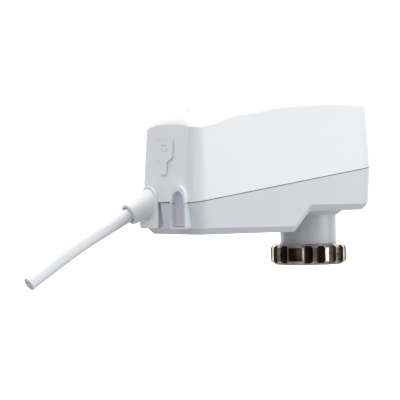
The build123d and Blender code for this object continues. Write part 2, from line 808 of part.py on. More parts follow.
def make_cover_screws():
    """Screws from below through the base's posts into the cover."""
    group = []
    for x, y in COVER_SCREWS:
        seat = floor_bottom(x) + COVER_SCREW_SEAT
        head = pillar(x, y, seat - COVER_SCREW_HEAD, seat, COVER_SCREW_HEAD_R)
        head -= hexagon_prism(x, y, seat - COVER_SCREW_HEAD - 1, seat - COVER_SCREW_HEAD / 2, COVER_SCREW_KEY)
        group.append(head + pillar(x, y, seat, girth_z(x) + COVER_SCREW_BITE, COVER_SCREW_R))
    keep("cover_screws", Compound(children=group))


# ---------------------------------------------------------------- cable entries


def mouth_direction():
    """Unit direction in which the cable leaves its boot, as (x, z)."""
    return (-math.cos(math.radians(BOOT_ANGLE)), -math.sin(math.radians(BOOT_ANGLE)))


def mouth_plane(depth):
    """Plane across the boot's mouth, a depth inside it."""
    dx, dz = mouth_direction()
    origin = (BOOT_MOUTH[0] - depth * dx, ENTRY_Y, BOOT_MOUTH[1] - depth * dz)
    return Plane(origin=origin, x_dir=(0, 1, 0), z_dir=(dx, 0, dz))


def insert_body(y, opening, clear):
    """Part of an insert that fills its opening, and its lip behind the wall."""
    bottom = FRAME_BOTTOM_Z + SILL + clear
    back = FRAME_BACK_X + LUG_THICK
    plug = frame_prism(y, CABLE_END_X - RUNNING, back, opening - clear, bottom)
    lip = frame_prism(y, FRAME_BACK_X + RUNNING, back, opening + LUG_LIP, bottom)
    return plug + (lip & block(FRAME_BACK_X, back, -LIP_REACH_Y, LIP_REACH_Y, 0, GIRTH_Z))


def lead_exit_y(way):
    """Place across the body where a lead leaves the boot."""
    return LEAD_EXIT_Y + (way - (TERMINAL_WAYS - 1) / 2) * LEAD_EXIT_PITCH


def make_boot():
    """Angled strain relief: a flange over the wall, a body through it, a lip and a tapered nose."""
    flange = frame_prism(ENTRY_Y, FRAME_FACE_X, CABLE_END_X - RUNNING, FLANGE_R, FRAME_BOTTOM_Z)
    foot = [e for e in flange.edges().filter_by(Axis.X) if e.center().Z < FRAME_BOTTOM_Z + 1]
    flange = fillet(foot, FLANGE_CORNER)
    flange = fillet(flange.faces().sort_by(Axis.X)[0].edges(), BOOT_ROUND)
    root = Plane(origin=(FRAME_FACE_X + BOOT_SINK, ENTRY_Y, BOOT_ROOT_Z), x_dir=(0, 1, 0), z_dir=(-1, 0, 0))
    nose = loft([root * Circle(BOOT_ROOT_R), mouth_plane(0) * Circle(BOOT_TIP_R)])
    nose = fillet(nose.edges().sort_by(Axis.X)[0], BOOT_ROUND)
    body = flange + nose + insert_body(ENTRY_Y, BOOT_OPENING_R, BOOT_CLEAR)
    body -= extrude(mouth_plane(BOOT_MOUTH_DEPTH) * Circle(BOOT_MOUTH_R), BOOT_MOUTH_DEPTH + 3)
    for way in range(TERMINAL_WAYS):
        hole = Pos(lead_exit_y(way), ENTRY_SPRING_Z) * Circle(LEAD_R)
        body -= end_prism(hole, FRAME_BACK_X + LUG_THICK - 1, FRAME_BACK_X + LUG_THICK + 1)
    return keep("cable_boot", body)


def make_blanking_plate():
    """Insert that closes the entry without a cable, set back from its rim."""
    front = block(FRAME_FACE_X - 1, FRAME_FACE_X + BLANK_RECESS, -2 * ENTRY_Y, 0, 0, GIRTH_Z)
    keep("blanking_plate", insert_body(-ENTRY_Y, BLANK_OPENING_R, BLANK_CLEAR) - front)


def cable_points():
    """Route of the cable from the bottom of the boot's mouth, as (x, y, z)."""
    dx, dz = mouth_direction()
    start = (BOOT_MOUTH[0] - BOOT_MOUTH_DEPTH * dx, BOOT_MOUTH[1] - BOOT_MOUTH_DEPTH * dz)
    first = (start[0] + CABLE_START_RUN * dx, start[1] + CABLE_START_RUN * dz)
    return [(x, ENTRY_Y, z) for x, z in [start, first, *CABLE_ROUTE]]


def make_cable():
    """Round cable whose far end is cut square, and its cores."""
    points = [Vector(*p) for p in cable_points()]
    radii = []
    for before, here, after in zip(points, points[1:], points[2:]):
        turn = (here - before).get_angle(after - here)
        shorter = min((here - before).length, (after - here).length)
        radii.append(RADIUS_SHARE * shorter / math.tan(math.radians(turn) / 2))
    print("cable bend radii:", [round(r, 1) for r in radii])
    path = FilletPolyline(*points, radius=radii)
    start = Plane(origin=path @ 0, x_dir=(0, 1, 0), z_dir=path % 0)
    tube = sweep(start * Circle(CABLE_R), path=path)
    print("cable length:", round(path.length, 2))
    print("cable volume over area times length:",
          round(tube.volume / (math.pi * CABLE_R**2 * path.length), 4))
    end = Plane(origin=path @ 1, x_dir=(0, 1, 0), z_dir=path % 1)
    cores = []
    for core in range(CORE_COUNT):
        place = polar(CORE_RING_R, 90 + core * 360 / CORE_COUNT)
        hole = extrude(end * Pos(*place) * Circle(CORE_R), -CORE_DEPTH)
        stub = extrude(end * Pos(*place) * Circle(CORE_R), CORE_STUB)
        tube -= hole
        cores.append(hole + stub)
    keep("cable", tube)
    keep("cable_cores", Compound(children=cores))


# ---------------------------------------------------------------- neck, nut and spindle


def ring_groove_z():
    """Bottom and top of the retaining ring's groove in the neck."""
    top = NUT_HEIGHT - NUT_LIP - WASHER_THICK - 2 * TOUCH
    return (top - RING_WIRE, top)


def make_neck():
    """Neck sleeve: clamped flange, cup for the valve and a guide for the spindle's hexagon."""
    flange_z = SHALLOW_FLOOR_Z + WALL
    body = pillar(0, 0, NECK_END_Z, flange_z, NECK_R)
    body += pillar(0, 0, flange_z, flange_z + NECK_FLANGE_THICK, NECK_FLANGE_R)
    body -= pillar(0, 0, 0, NECK_WEB_Z, NECK_CUP_R)
    body -= pillar(0, 0, NECK_WEB_Z + NECK_WEB_THICK, 40, NECK_CUP_R)
    body -= hexagon_prism(0, 0, NECK_WEB_Z - 1, NECK_WEB_Z + NECK_WEB_THICK + 1, HEX_FLATS + 2 * HEX_CLEAR)
    low, high = ring_groove_z()
    body -= ring(0, 0, low, high, NECK_R + 1, RING_OUTER_R - RING_WIRE)
    for angle in NECK_SCREW_ANGLES:
        x, y = polar(NECK_SCREW_CIRCLE_R, angle)
        body -= pillar(x, y, flange_z - 1, flange_z + 5, POST_SCREW_R + RUNNING)
    keep("neck_sleeve", body)
    group = []
    for angle in NECK_SCREW_ANGLES:
        x, y = polar(NECK_SCREW_CIRCLE_R, angle)
        seat = flange_z + NECK_FLANGE_THICK
        group.append(screw(x, y, seat, POST_SCREW_R, seat - neck_screw_tip()))
    keep("neck_screws", Compound(children=group))


def make_ring_and_washer():
    """Snap ring in the neck's groove and the slip washer that the nut's lip rests on."""
    low, high = ring_groove_z()
    snap = ring(0, 0, low, high, RING_OUTER_R, RING_OUTER_R - RING_WIRE)
    reach = RING_OUTER_R + 2
    gap = math.radians(RING_GAP_ANGLE / 2)
    wedge = make_face(Polyline((0, 0), (reach * 2, -reach * 2 * math.tan(gap)),
                               (reach * 2, reach * 2 * math.tan(gap)), close=True))
    snap -= extrude(Pos(0, 0, low - 1) * wedge, RING_WIRE + 2)
    keep("retaining_ring", snap)
    z0 = high + TOUCH
    keep("slip_washer", ring(0, 0, z0, z0 + WASHER_THICK, NUT_RELIEF_R - WASHER_RIM_CLEAR, NECK_R + RUNNING))


def make_nut():
    """Union nut: bore with a thread's minor radius, inner lip and grouped grip flutes."""
    blank = pillar(0, 0, 0, NUT_HEIGHT, NUT_R)
    rims = blank.edges().filter_by(GeomType.CIRCLE)
    blank = chamfer(rims, NUT_CHAMFER)
    floor_r, top_r = NUT_R - FLUTE_DEPTH, NUT_R + 0.5
    half_floor, half_top = FLUTE_FLOOR / 2, FLUTE_TOP / 2 + 0.4
    pitch = 360 / FLUTE_PITCHES
    groove = make_face(Polyline((floor_r, -half_floor), (top_r, -half_top), (top_r, half_top),
                                (floor_r, half_floor), close=True))
    for place in range(FLUTE_PITCHES):
        if place % LAND_EVERY:
            blank -= Rot(0, 0, LAND_ANGLE + place * pitch) * extrude(groove, NUT_HEIGHT)
    blank -= pillar(0, 0, -1, THREAD_LENGTH, THREAD_MINOR_R)
    blank -= pillar(0, 0, THREAD_LENGTH, NUT_HEIGHT - NUT_LIP, NUT_RELIEF_R)
    blank -= pillar(0, 0, 1, NUT_HEIGHT + 1, NECK_R + NUT_LIP_CLEAR)
    keep("union_nut", blank)


def make_spindle():
    """Spindle with a hexagon for guidance and a screw above it, and its pusher."""
    pusher_top = PUSHER_FACE_Z + PUSHER_THICK
    pin_low = PUSHER_FACE_Z + 0.8
    body = pillar(0, 0, pin_low, pusher_top, PUSHER_PIN_R)
    body += hexagon_prism(0, 0, pusher_top, HEX_TOP_Z, HEX_FLATS)
    body += pillar(0, 0, HEX_TOP_Z, SCREW_TOP_Z, SCREW_R)
    keep("spindle", body)
    pusher = pillar(0, 0, PUSHER_FACE_Z, pusher_top, PUSHER_R)
    pusher = chamfer(pusher.edges().filter_by(GeomType.CIRCLE).sort_by(Axis.Z)[0], 0.6)
    keep("spindle_pusher", pusher - pillar(0, 0, pin_low, pusher_top + 1, PUSHER_PIN_R))


# ---------------------------------------------------------------- gearbox


def plate_outline():
    """Outline of the gearbox plates."""
    face = make_face(
        Polyline(
            (PLATE_CABLE_X, -PLATE_HALF), (PLATE_SHOULDER_X, -PLATE_HALF),
            (PLATE_SHOULDER_X, -PLATE_NOSE_HALF), (PLATE_NOSE_X, -PLATE_NOSE_HALF),
            (PLATE_NOSE_X, PLATE_NOSE_HALF), (PLATE_SHOULDER_X, PLATE_NOSE_HALF),
            (PLATE_SHOULDER_X, PLATE_HALF), (PLATE_CABLE_X, PLATE_HALF), close=True,
        )
    )
    return fillet(face.vertices(), PLATE_CORNER)


def plate(z0):
    """Gearbox plate at a height, with its screw holes."""
    body = Pos(0, 0, z0) * extrude(plate_outline(), PLATE_THICK)
    for x, y in GEARBOX_POSTS:
        body -= pillar(x, y, z0 - 1, z0 + PLATE_THICK + 1, POST_SCREW_R)
    for x, y in (AXIS_2, AXIS_3):
        body -= pillar(x, y, z0 - 1, z0 + PLATE_THICK + 1, ARBOR_R)
    return body


def drive_hub_top():
    """Top of the drive gear's hub, under the thrust bearing."""
    return TOP_PLATE_Z - 2 * RACE_THICK - 2 * BALL_R - 2 * TOUCH


def motor_ears():
    """Places of the motor's two screw ears."""
    return [(AXIS_MOTOR[0] + side * MOTOR_EAR, AXIS_MOTOR[1]) for side in (-1, 1)]


def make_plates():
    """Two plates that carry the train, the pillars between them and their screws."""
    low = plate(BASE_PLATE_Z)
    low -= pillar(0, 0, BASE_PLATE_Z - 1, 60, DRIVE_JOURNAL_R + RUNNING)
    low -= pillar(*AXIS_1, BASE_PLATE_Z - 1, 60, OVERRIDE_JOURNAL_R + RUNNING)
    low -= pillar(*AXIS_MOTOR, BASE_PLATE_Z - 1, 60, MOTOR_BOSS_R + RUNNING)
    for x, y in motor_ears():
        low -= pillar(x, y, BASE_PLATE_Z - 1, 60, POST_SCREW_R)
    keep("gearbox_base_plate", low)
    high = plate(TOP_PLATE_Z)
    high -= pillar(*AXIS_1, TOP_PLATE_Z - 1, 60, OVERRIDE_R + RUNNING)
    for x, y in BOARD_POSTS:
        high -= pillar(x, y, TOP_PLATE_Z - 1, 60, POST_SCREW_R)
    keep("gearbox_top_plate", high)
    spacers = [ring(x, y, BASE_PLATE_Z + PLATE_THICK, TOP_PLATE_Z, PILLAR_R, POST_SCREW_R)
               for x, y in GEARBOX_POSTS]
    keep("gearbox_pillars", Compound(children=spacers))
    seat = TOP_PLATE_Z + PLATE_THICK
    bite = seat - BASE_PLATE_Z + POST_SCREW_BITE
    group = [screw(x, y, seat, POST_SCREW_R, bite) for x, y in GEARBOX_POSTS]
    keep("gearbox_screws", Compound(children=group))


def make_train():
    """Three compound gears with their arbors, and the override shaft that turns the first."""
    hub_low = BASE_PLATE_Z + PLATE_THICK + GEAR_GAP
    hub_high = TOP_PLATE_Z - GEAR_GAP

    module_d, small_d, large_d, face_d = STAGE_D
    module_c, small_c, large_c, face_c = STAGE_C
    module_b, small_b, large_b, face_b = STAGE_B
    module_a, small_a, large_a, face_a = STAGE_A

    # Output gear with the spindle's nut thread
    turn = bearing_deg(AXIS_OUT, AXIS_3)
    body = gear(0, 0, LEVEL_1_Z, LEVEL_1_Z + face_d, module_d, large_d, turn)
    body += pillar(0, 0, BASE_PLATE_Z + GEAR_GAP, LEVEL_1_Z, DRIVE_JOURNAL_R)
    body += pillar(0, 0, hub_low, drive_hub_top(), DRIVE_HUB_R)
    body -= pillar(0, 0, 30, 60, SCREW_R + RUNNING)
    keep("drive_gear", body)

    # Third compound gear
    x, y = AXIS_3
    body = gear(x, y, LEVEL_1_Z - PINION_EXTRA, LEVEL_2_Z, module_d, small_d,
                mesh_turn(small_d, AXIS_3, AXIS_OUT))
    body += gear(x, y, LEVEL_2_Z, LEVEL_2_Z + face_c, module_c, large_c, bearing_deg(AXIS_3, AXIS_2))
    body += pillar(x, y, hub_low, hub_high, HUB_R)
    body -= pillar(x, y, 30, 60, ARBOR_R + RUNNING)
    keep("compound_gear_3", body)

    # Second compound gear
    x, y = AXIS_2
    body = gear(x, y, LEVEL_2_Z - PINION_EXTRA, LEVEL_3_Z, module_c, small_c,
                mesh_turn(small_c, AXIS_2, AXIS_3))
    body += gear(x, y, LEVEL_3_Z, LEVEL_3_Z + face_b, module_b, large_b, bearing_deg(AXIS_2, AXIS_1))
    body += pillar(x, y, hub_low, hub_high, HUB_R)
    body -= pillar(x, y, 30, 60, ARBOR_R + RUNNING)
    keep("compound_gear_2", body)

    # First compound gear, pressed on the override shaft
    x, y = AXIS_1
    large_top = LEVEL_2_Z + face_a
    body = gear(x, y, large_top, LEVEL_3_Z + face_b + PINION_EXTRA, module_b, small_b,
                mesh_turn(small_b, AXIS_1, AXIS_2))
    body += gear(x, y, LEVEL_2_Z, large_top, module_a, large_a, bearing_deg(AXIS_1, AXIS_MOTOR))
    body -= pillar(x, y, 30, 60, OVERRIDE_R)
    keep("compound_gear_1", body)

    shaft = pillar(x, y, BASE_PLATE_Z + GEAR_GAP, hub_low, OVERRIDE_JOURNAL_R)
    shaft += pillar(x, y, hub_low, OVERRIDE_TOP_Z, OVERRIDE_R)
    collar_rise, collar_thick = OVERRIDE_COLLAR
    shaft += pillar(x, y, LEVEL_2_Z - collar_thick, LEVEL_2_Z, OVERRIDE_R + collar_rise)
    shaft -= hexagon_prism(x, y, OVERRIDE_TOP_Z - SOCKET_DEPTH, OVERRIDE_TOP_Z + 1, OVERRIDE_FLATS)
    keep("override_shaft", shaft)

    for name, axis in (("arbor_2", AXIS_2), ("arbor_3", AXIS_3)):
        keep(name, pillar(*axis, BASE_PLATE_Z, TOP_PLATE_Z + PLATE_THICK, ARBOR_R))


def make_thrust_bearing():
    """Thrust ball bearing between the drive gear's hub and the top plate."""
    low = drive_hub_top()
    keep("thrust_race_lower", ring(0, 0, low, low + RACE_THICK, RACE_R, RACE_BORE_R))
    keep("thrust_race_upper", ring(0, 0, TOP_PLATE_Z - RACE_THICK, TOP_PLATE_Z, RACE_R, RACE_BORE_R))
    ball_z = low + RACE_THICK + TOUCH + BALL_R
    cage = ring(0, 0, ball_z - CAGE_THICK / 2, ball_z + CAGE_THICK / 2, RACE_R - CAGE_MARGIN,
                RACE_BORE_R + CAGE_MARGIN)
    balls = []
    for place in range(BALL_COUNT):
        x, y = polar(BALL_CIRCLE_R, place * 360 / BALL_COUNT)
        balls.append(Pos(x, y, ball_z) * Sphere(BALL_R))
        cage -= pillar(x, y, ball_z - CAGE_THICK, ball_z + CAGE_THICK, BALL_R + RUNNING)
    keep("thrust_balls", Compound(children=balls))
    keep("thrust_cage", cage)


def make_motor():
    """Synchronous motor under the base plate, with its shaft and pinion above it."""
    x, y = AXIS_MOTOR
    flange_z = BASE_PLATE_Z - MOTOR_FLANGE
    bore_z = SHAFT_BOTTOM_Z - SHAFT_END_ROOM
    can = pillar(x, y, CAN_BOTTOM_Z, flange_z, CAN_R)
    can = fillet(can.edges().filter_by(GeomType.CIRCLE).sort_by(Axis.Z)[0], CAN_EDGE_R)
    can -= pillar(x, y, bore_z - BOSS_FLOOR, flange_z + 1, MOTOR_BOSS_R)
    keep("motor_can", can)
    flange = pillar(x, y, flange_z, BASE_PLATE_Z, CAN_R)
    for ear_x, ear_y in motor_ears():
        flange += pillar(ear_x, ear_y, flange_z, BASE_PLATE_Z, MOTOR_EAR_R)
        flange += block(min(x, ear_x), max(x, ear_x), y - MOTOR_EAR_R, y + MOTOR_EAR_R,
                        flange_z, BASE_PLATE_Z)
    flange += pillar(x, y, bore_z - BOSS_FLOOR, MOTOR_BOSS_TOP_Z, MOTOR_BOSS_R)
    flange -= pillar(x, y, bore_z, 60, SHAFT_R + RUNNING)
    for ear_x, ear_y in motor_ears():
        flange -= pillar(ear_x, ear_y, 0, 60, POST_SCREW_R)
    keep("motor_end_plate", flange)
    seat = BASE_PLATE_Z + PLATE_THICK
    group = [screw(ex, ey, seat, POST_SCREW_R, PLATE_THICK + MOTOR_FLANGE) for ex, ey in motor_ears()]
    keep("motor_screws", Compound(children=group))
    module, small, _, face = STAGE_A
    pinion_low, pinion_high = LEVEL_2_Z - PINION_EXTRA, LEVEL_2_Z + face + PINION_EXTRA
    keep("motor_shaft", pillar(x, y, SHAFT_BOTTOM_Z, pinion_high + SHAFT_PROUD, SHAFT_R))
    pinion = gear(x, y, pinion_low, pinion_high, module, small, mesh_turn(small, AXIS_MOTOR, AXIS_1))
    keep("motor_pinion", pinion - pillar(x, y, 0, 60, SHAFT_R))


# ---------------------------------------------------------------- circuit board


def board_top():
    """Height of the circuit board's upper face."""
    return BOARD_Z + BOARD_THICK


def make_board():
    """Circuit board on standoffs, with its screws."""
    face = Rectangle(BOARD_NUT_X - BOARD_CABLE_X, 2 * BOARD_HALF)
    face = Pos((BOARD_NUT_X + BOARD_CABLE_X) / 2, 0, BOARD_Z) * fillet(face.vertices(), BOARD_CORNER)
    board = extrude(face, BOARD_THICK)
    board -= pillar(*AXIS_1, 50, 70, OVERRIDE_R + BOARD_HOLE_CLEAR)
    for x, y in BOARD_POSTS:
        board -= pillar(x, y, 50, 70, POST_SCREW_R)
    keep("circuit_board", board)
    seat = TOP_PLATE_Z + PLATE_THICK
    spacers = [ring(x, y, seat, BOARD_Z, BOARD_POST_R, POST_SCREW_R) for x, y in BOARD_POSTS]
    keep("board_standoffs", Compound(children=spacers))
    bite = board_top() - TOP_PLATE_Z
    group = [screw(x, y, board_top(), POST_SCREW_R, bite) for x, y in BOARD_POSTS]
    keep("board_screws", Compound(children=group))


def make_components():
    """Parts on the board: capacitor, controller, lamp and terminal block."""
    z = board_top()
    capacitor = Pos(CAPACITOR_X, 0, z + CAPACITOR_R) * Rot(0, 90, 0) * Cylinder(CAPACITOR_R, CAPACITOR_HEIGHT)
    keep("supply_capacitor", capacitor)
    chip = block(CHIP_X - CHIP_SIZE / 2, CHIP_X + CHIP_SIZE / 2, CHIP_EDGE_Y - CHIP_SIZE, CHIP_EDGE_Y,
                 z, z + CHIP_THICK)
    keep("control_chip", chip)
    lamp = pillar(LED_X, LED_Y, z, z + LED_STEM, LED_R) + Pos(LED_X, LED_Y, z + LED_STEM) * Sphere(LED_R)
    keep("status_lamp", lamp)
    half = TERMINAL_WAYS * TERMINAL_PITCH / 2
    x0, x1 = TERMINAL_X - TERMINAL_DEPTH / 2, TERMINAL_X + TERMINAL_DEPTH / 2
    terminal = block(x0, x1, TERMINAL_Y - half, TERMINAL_Y + half, z, z + TERMINAL_HEIGHT)
    screws = []
    for way in range(TERMINAL_WAYS):
        y = TERMINAL_Y + (way - (TERMINAL_WAYS - 1) / 2) * TERMINAL_PITCH
        top = z + TERMINAL_HEIGHT
        head_z = top - TERMINAL_SCREW_DROP
        slot_width, slot_depth = TERMINAL_SLOT
        terminal -= pillar(TERMINAL_X, y, z + TERMINAL_SCREW_Z, top + 1, TERMINAL_SCREW_R)
        slot = block(TERMINAL_X - TERMINAL_SCREW_R - 1, TERMINAL_X + TERMINAL_SCREW_R + 1,
                     y - slot_width / 2, y + slot_width / 2, head_z - slot_depth, top)
        screws.append(pillar(TERMINAL_X, y, z + TERMINAL_SCREW_Z, head_z, TERMINAL_SCREW_R) - slot)
        terminal -= end_prism(Pos(y, z + LEAD_Z) * Circle(LEAD_R), x0 - 1, x0 + LEAD_HOLE_DEPTH)
    keep("terminal_block", terminal)
    keep("terminal_screws", Compound(children=screws))


def make_leads():
    """Three leads from the boot up to the terminal block."""
    z = board_top() + LEAD_Z
    leads = []
    for way in range(TERMINAL_WAYS):
        low_y = lead_exit_y(way)
        high_y = TERMINAL_Y + (way - (TERMINAL_WAYS - 1) / 2) * TERMINAL_PITCH
        start = (FRAME_BACK_X + LUG_THICK - 1, low_y, ENTRY_SPRING_Z)
        rise_x = LEAD_RISE_X
        path = FilletPolyline(
            start, (rise_x, low_y, ENTRY_SPRING_Z), (rise_x, low_y, LEAD_TURN_Z), (rise_x, high_y, z),
            (TERMINAL_X - TERMINAL_DEPTH / 2 + LEAD_HOLE_DEPTH, high_y, z),
            radius=[LEAD_BEND_R / 2, LEAD_BEND_R, LEAD_BEND_R / 2],
        )
        plane = Plane(origin=path @ 0, x_dir=(0, 1, 0), z_dir=path % 0)
        leads.append(sweep(plane * Circle(LEAD_R), path=path))
    keep("supply_leads", Compound(children=leads))


def make_dip_switch():
    """Setting switch: a body with four slots and a slider in each."""
    z = board_top()
    width = DIP_COUNT * DIP_PITCH
    body = block(DIP_X - width / 2, DIP_X + width / 2, DIP_Y - DIP_DEPTH / 2, DIP_Y + DIP_DEPTH / 2,
                 z, z + DIP_HEIGHT)
    travel = DIP_KNOB + DIP_TRAVEL
    for place in range(DIP_COUNT):
        x = DIP_X + (place - (DIP_COUNT - 1) / 2) * DIP_PITCH
        top = z + DIP_HEIGHT
        y0, y1 = DIP_Y - travel / 2, DIP_Y + travel / 2
        half = DIP_SLOT_WIDTH / 2
        body -= block(x - half, x + half, y0 - RUNNING, y1 + RUNNING, top - DIP_SLOT_DEPTH, top + 1)
        slider = block(x - half + RUNNING, x + half - RUNNING, y0, y0 + DIP_KNOB,
                       top - DIP_SLOT_DEPTH + TOUCH, top + DIP_PROUD)
        keep(f"dip_slider_{place + 1}", slider)
    keep("dip_switch_body", body)


def make_override_plug():
    """Plug that closes the hole over the override shaft, and its sealing ring."""
    head_z = plug_seat()
    body = pillar(GEAR_1_X, 0, head_z + TOUCH, head_z + PLUG_HEAD_THICK, PLUG_HEAD_R)
    body = fillet(body.edges().filter_by(GeomType.CIRCLE).sort_by(Axis.Z)[-1], PLUG_EDGE_R)
    body += pillar(GEAR_1_X, 0, head_z - PLUG_LENGTH, head_z + TOUCH, PLUG_R)
    groove_z = head_z - PLUG_LENGTH + PLUG_GROOVE_UP
    body -= ring(GEAR_1_X, 0, groove_z - PLUG_RING_R, groove_z + PLUG_RING_R, PLUG_R + 1,
                 PLUG_R - PLUG_RING_DEPTH)
    keep("override_plug", body)
    seal = ring(GEAR_1_X, 0, groove_z - PLUG_RING_R, groove_z + PLUG_RING_R, PLUG_R + PLUG_RING_PROUD,
                PLUG_R - PLUG_RING_DEPTH)
    keep("plug_seal", seal)


def build_all():
    """Build every node."""
    make_upper_cover()
    make_lower_housing()
    make_gasket()
    make_cover_screws()
    make_boot()
    make_blanking_plate()
    make_cable()
    make_neck()
    make_ring_and_washer()
    make_nut()
    make_spindle()
    make_plates()
    make_train()
    make_thrust_bearing()
    make_motor()
    make_board()
    make_components()
    make_leads()
    make_dip_switch()
    make_override_plug()


build_all()
print("axes:", AXIS_1, AXIS_2, AXIS_3, AXIS_MOTOR)
os.makedirs("parts", exist_ok=True)
for node, shape in KEPT.items():
    export_step(shape, f"parts/{node}.step")
print("nodes:", len(KEPT))
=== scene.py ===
"""Looks of a motorised valve actuator head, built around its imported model."""

import logging
import math
from dataclasses import dataclass, field
from enum import Enum
from typing import Callable, Sequence

import bmesh
import bpy
from mathutils import Matrix, Vector


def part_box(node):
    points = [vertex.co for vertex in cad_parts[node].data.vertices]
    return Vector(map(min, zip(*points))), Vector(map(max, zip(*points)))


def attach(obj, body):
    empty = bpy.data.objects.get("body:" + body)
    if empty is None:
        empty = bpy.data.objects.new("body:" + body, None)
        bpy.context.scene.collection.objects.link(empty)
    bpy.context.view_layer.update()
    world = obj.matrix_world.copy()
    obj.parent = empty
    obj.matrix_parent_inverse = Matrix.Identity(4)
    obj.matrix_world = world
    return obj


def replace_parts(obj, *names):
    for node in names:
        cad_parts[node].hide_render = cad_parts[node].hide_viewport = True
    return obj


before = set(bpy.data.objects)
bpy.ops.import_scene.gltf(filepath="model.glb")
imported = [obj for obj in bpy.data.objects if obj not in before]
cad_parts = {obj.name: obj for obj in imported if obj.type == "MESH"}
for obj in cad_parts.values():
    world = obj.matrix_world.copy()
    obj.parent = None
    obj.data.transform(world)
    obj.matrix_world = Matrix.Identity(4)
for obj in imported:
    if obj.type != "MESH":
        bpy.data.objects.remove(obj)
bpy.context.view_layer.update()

LOG = logging.getLogger("actuator_head")
MM = 0.001

Colour = tuple[float, float, float]


def srgb(red: int, green: int, blue: int) -> Colour:
    """Turn an 8-bit display colour into linear light.

    Args:
        red: Red, 0 to 255.
        green: Green, 0 to 255.
        blue: Blue, 0 to 255.

    Returns:
        The linear colour.
    """

    def linear(value: int) -> float:
        """Linear light of one channel."""
        share = value / 255
        return share / 12.92 if share <= 0.04045 else ((share + 0.055) / 1.055) ** 2.4

    return (linear(red), linear(green), linear(blue))


# ---------------------------------------------------------------- shader maths


class Wire:
    """One output socket of a shader tree, with arithmetic that adds Math nodes."""

    def __init__(self, shade: "Shade", socket: bpy.types.NodeSocket) -> None:
        """Keep the tree and the socket."""
        self.shade = shade
        self.socket = socket

    def _math(self, operation: str, first: "Wire | float", second: "Wire | float") -> "Wire":
        """Add one Math node over two values."""
        return self.shade.node("ShaderNodeMath", {"operation": operation}, {0: first, 1: second})

    def __add__(self, other: "Wire | float") -> "Wire":
        """Sum."""
        return self._math("ADD", self, other)

    def __radd__(self, other: float) -> "Wire":
        """Sum with a number first."""
        return self._math("ADD", other, self)

    def __sub__(self, other: "Wire | float") -> "Wire":
        """Difference."""
        return self._math("SUBTRACT", self, other)

    def __rsub__(self, other: float) -> "Wire":
        """Difference from a number."""
        return self._math("SUBTRACT", other, self)

    def __mul__(self, other: "Wire | float") -> "Wire":
        """Product."""
        return self._math("MULTIPLY", self, other)

    def __rmul__(self, other: float) -> "Wire":
        """Product with a number first."""
        return self._math("MULTIPLY", other, self)

    def __truediv__(self, other: "Wire | float") -> "Wire":
        """Quotient."""
        return self._math("DIVIDE", self, other)

    def __pow__(self, other: "Wire | float") -> "Wire":
        """Power."""
        return self._math("POWER", self, other)

    def __mod__(self, other: "Wire | float") -> "Wire":
        """Remainder that is never negative."""
        return self._math("FLOORED_MODULO", self, other)

    def __abs__(self) -> "Wire":
        """Size without sign."""
        return self._math("ABSOLUTE", self, 0.0)

    def least(self, other: "Wire | float") -> "Wire":
        """Smaller of two values."""
        return self._math("MINIMUM", self, other)

    def most(self, other: "Wire | float") -> "Wire":
        """Larger of two values."""
        return self._math("MAXIMUM", self, other)

    def ramp(self, low: float, high: float) -> "Wire":
        """Rise smoothly from 0 at low to 1 at high, or fall where high is below low."""
        a, b, lo, hi = (low, high, 0.0, 1.0) if low < high else (high, low, 1.0, 0.0)
        return self.shade.node(
            "ShaderNodeMapRange",
            {"interpolation_type": "SMOOTHSTEP"},
            {"Value": self, "From Min": a, "From Max": b, "To Min": lo, "To Max": hi},
        )


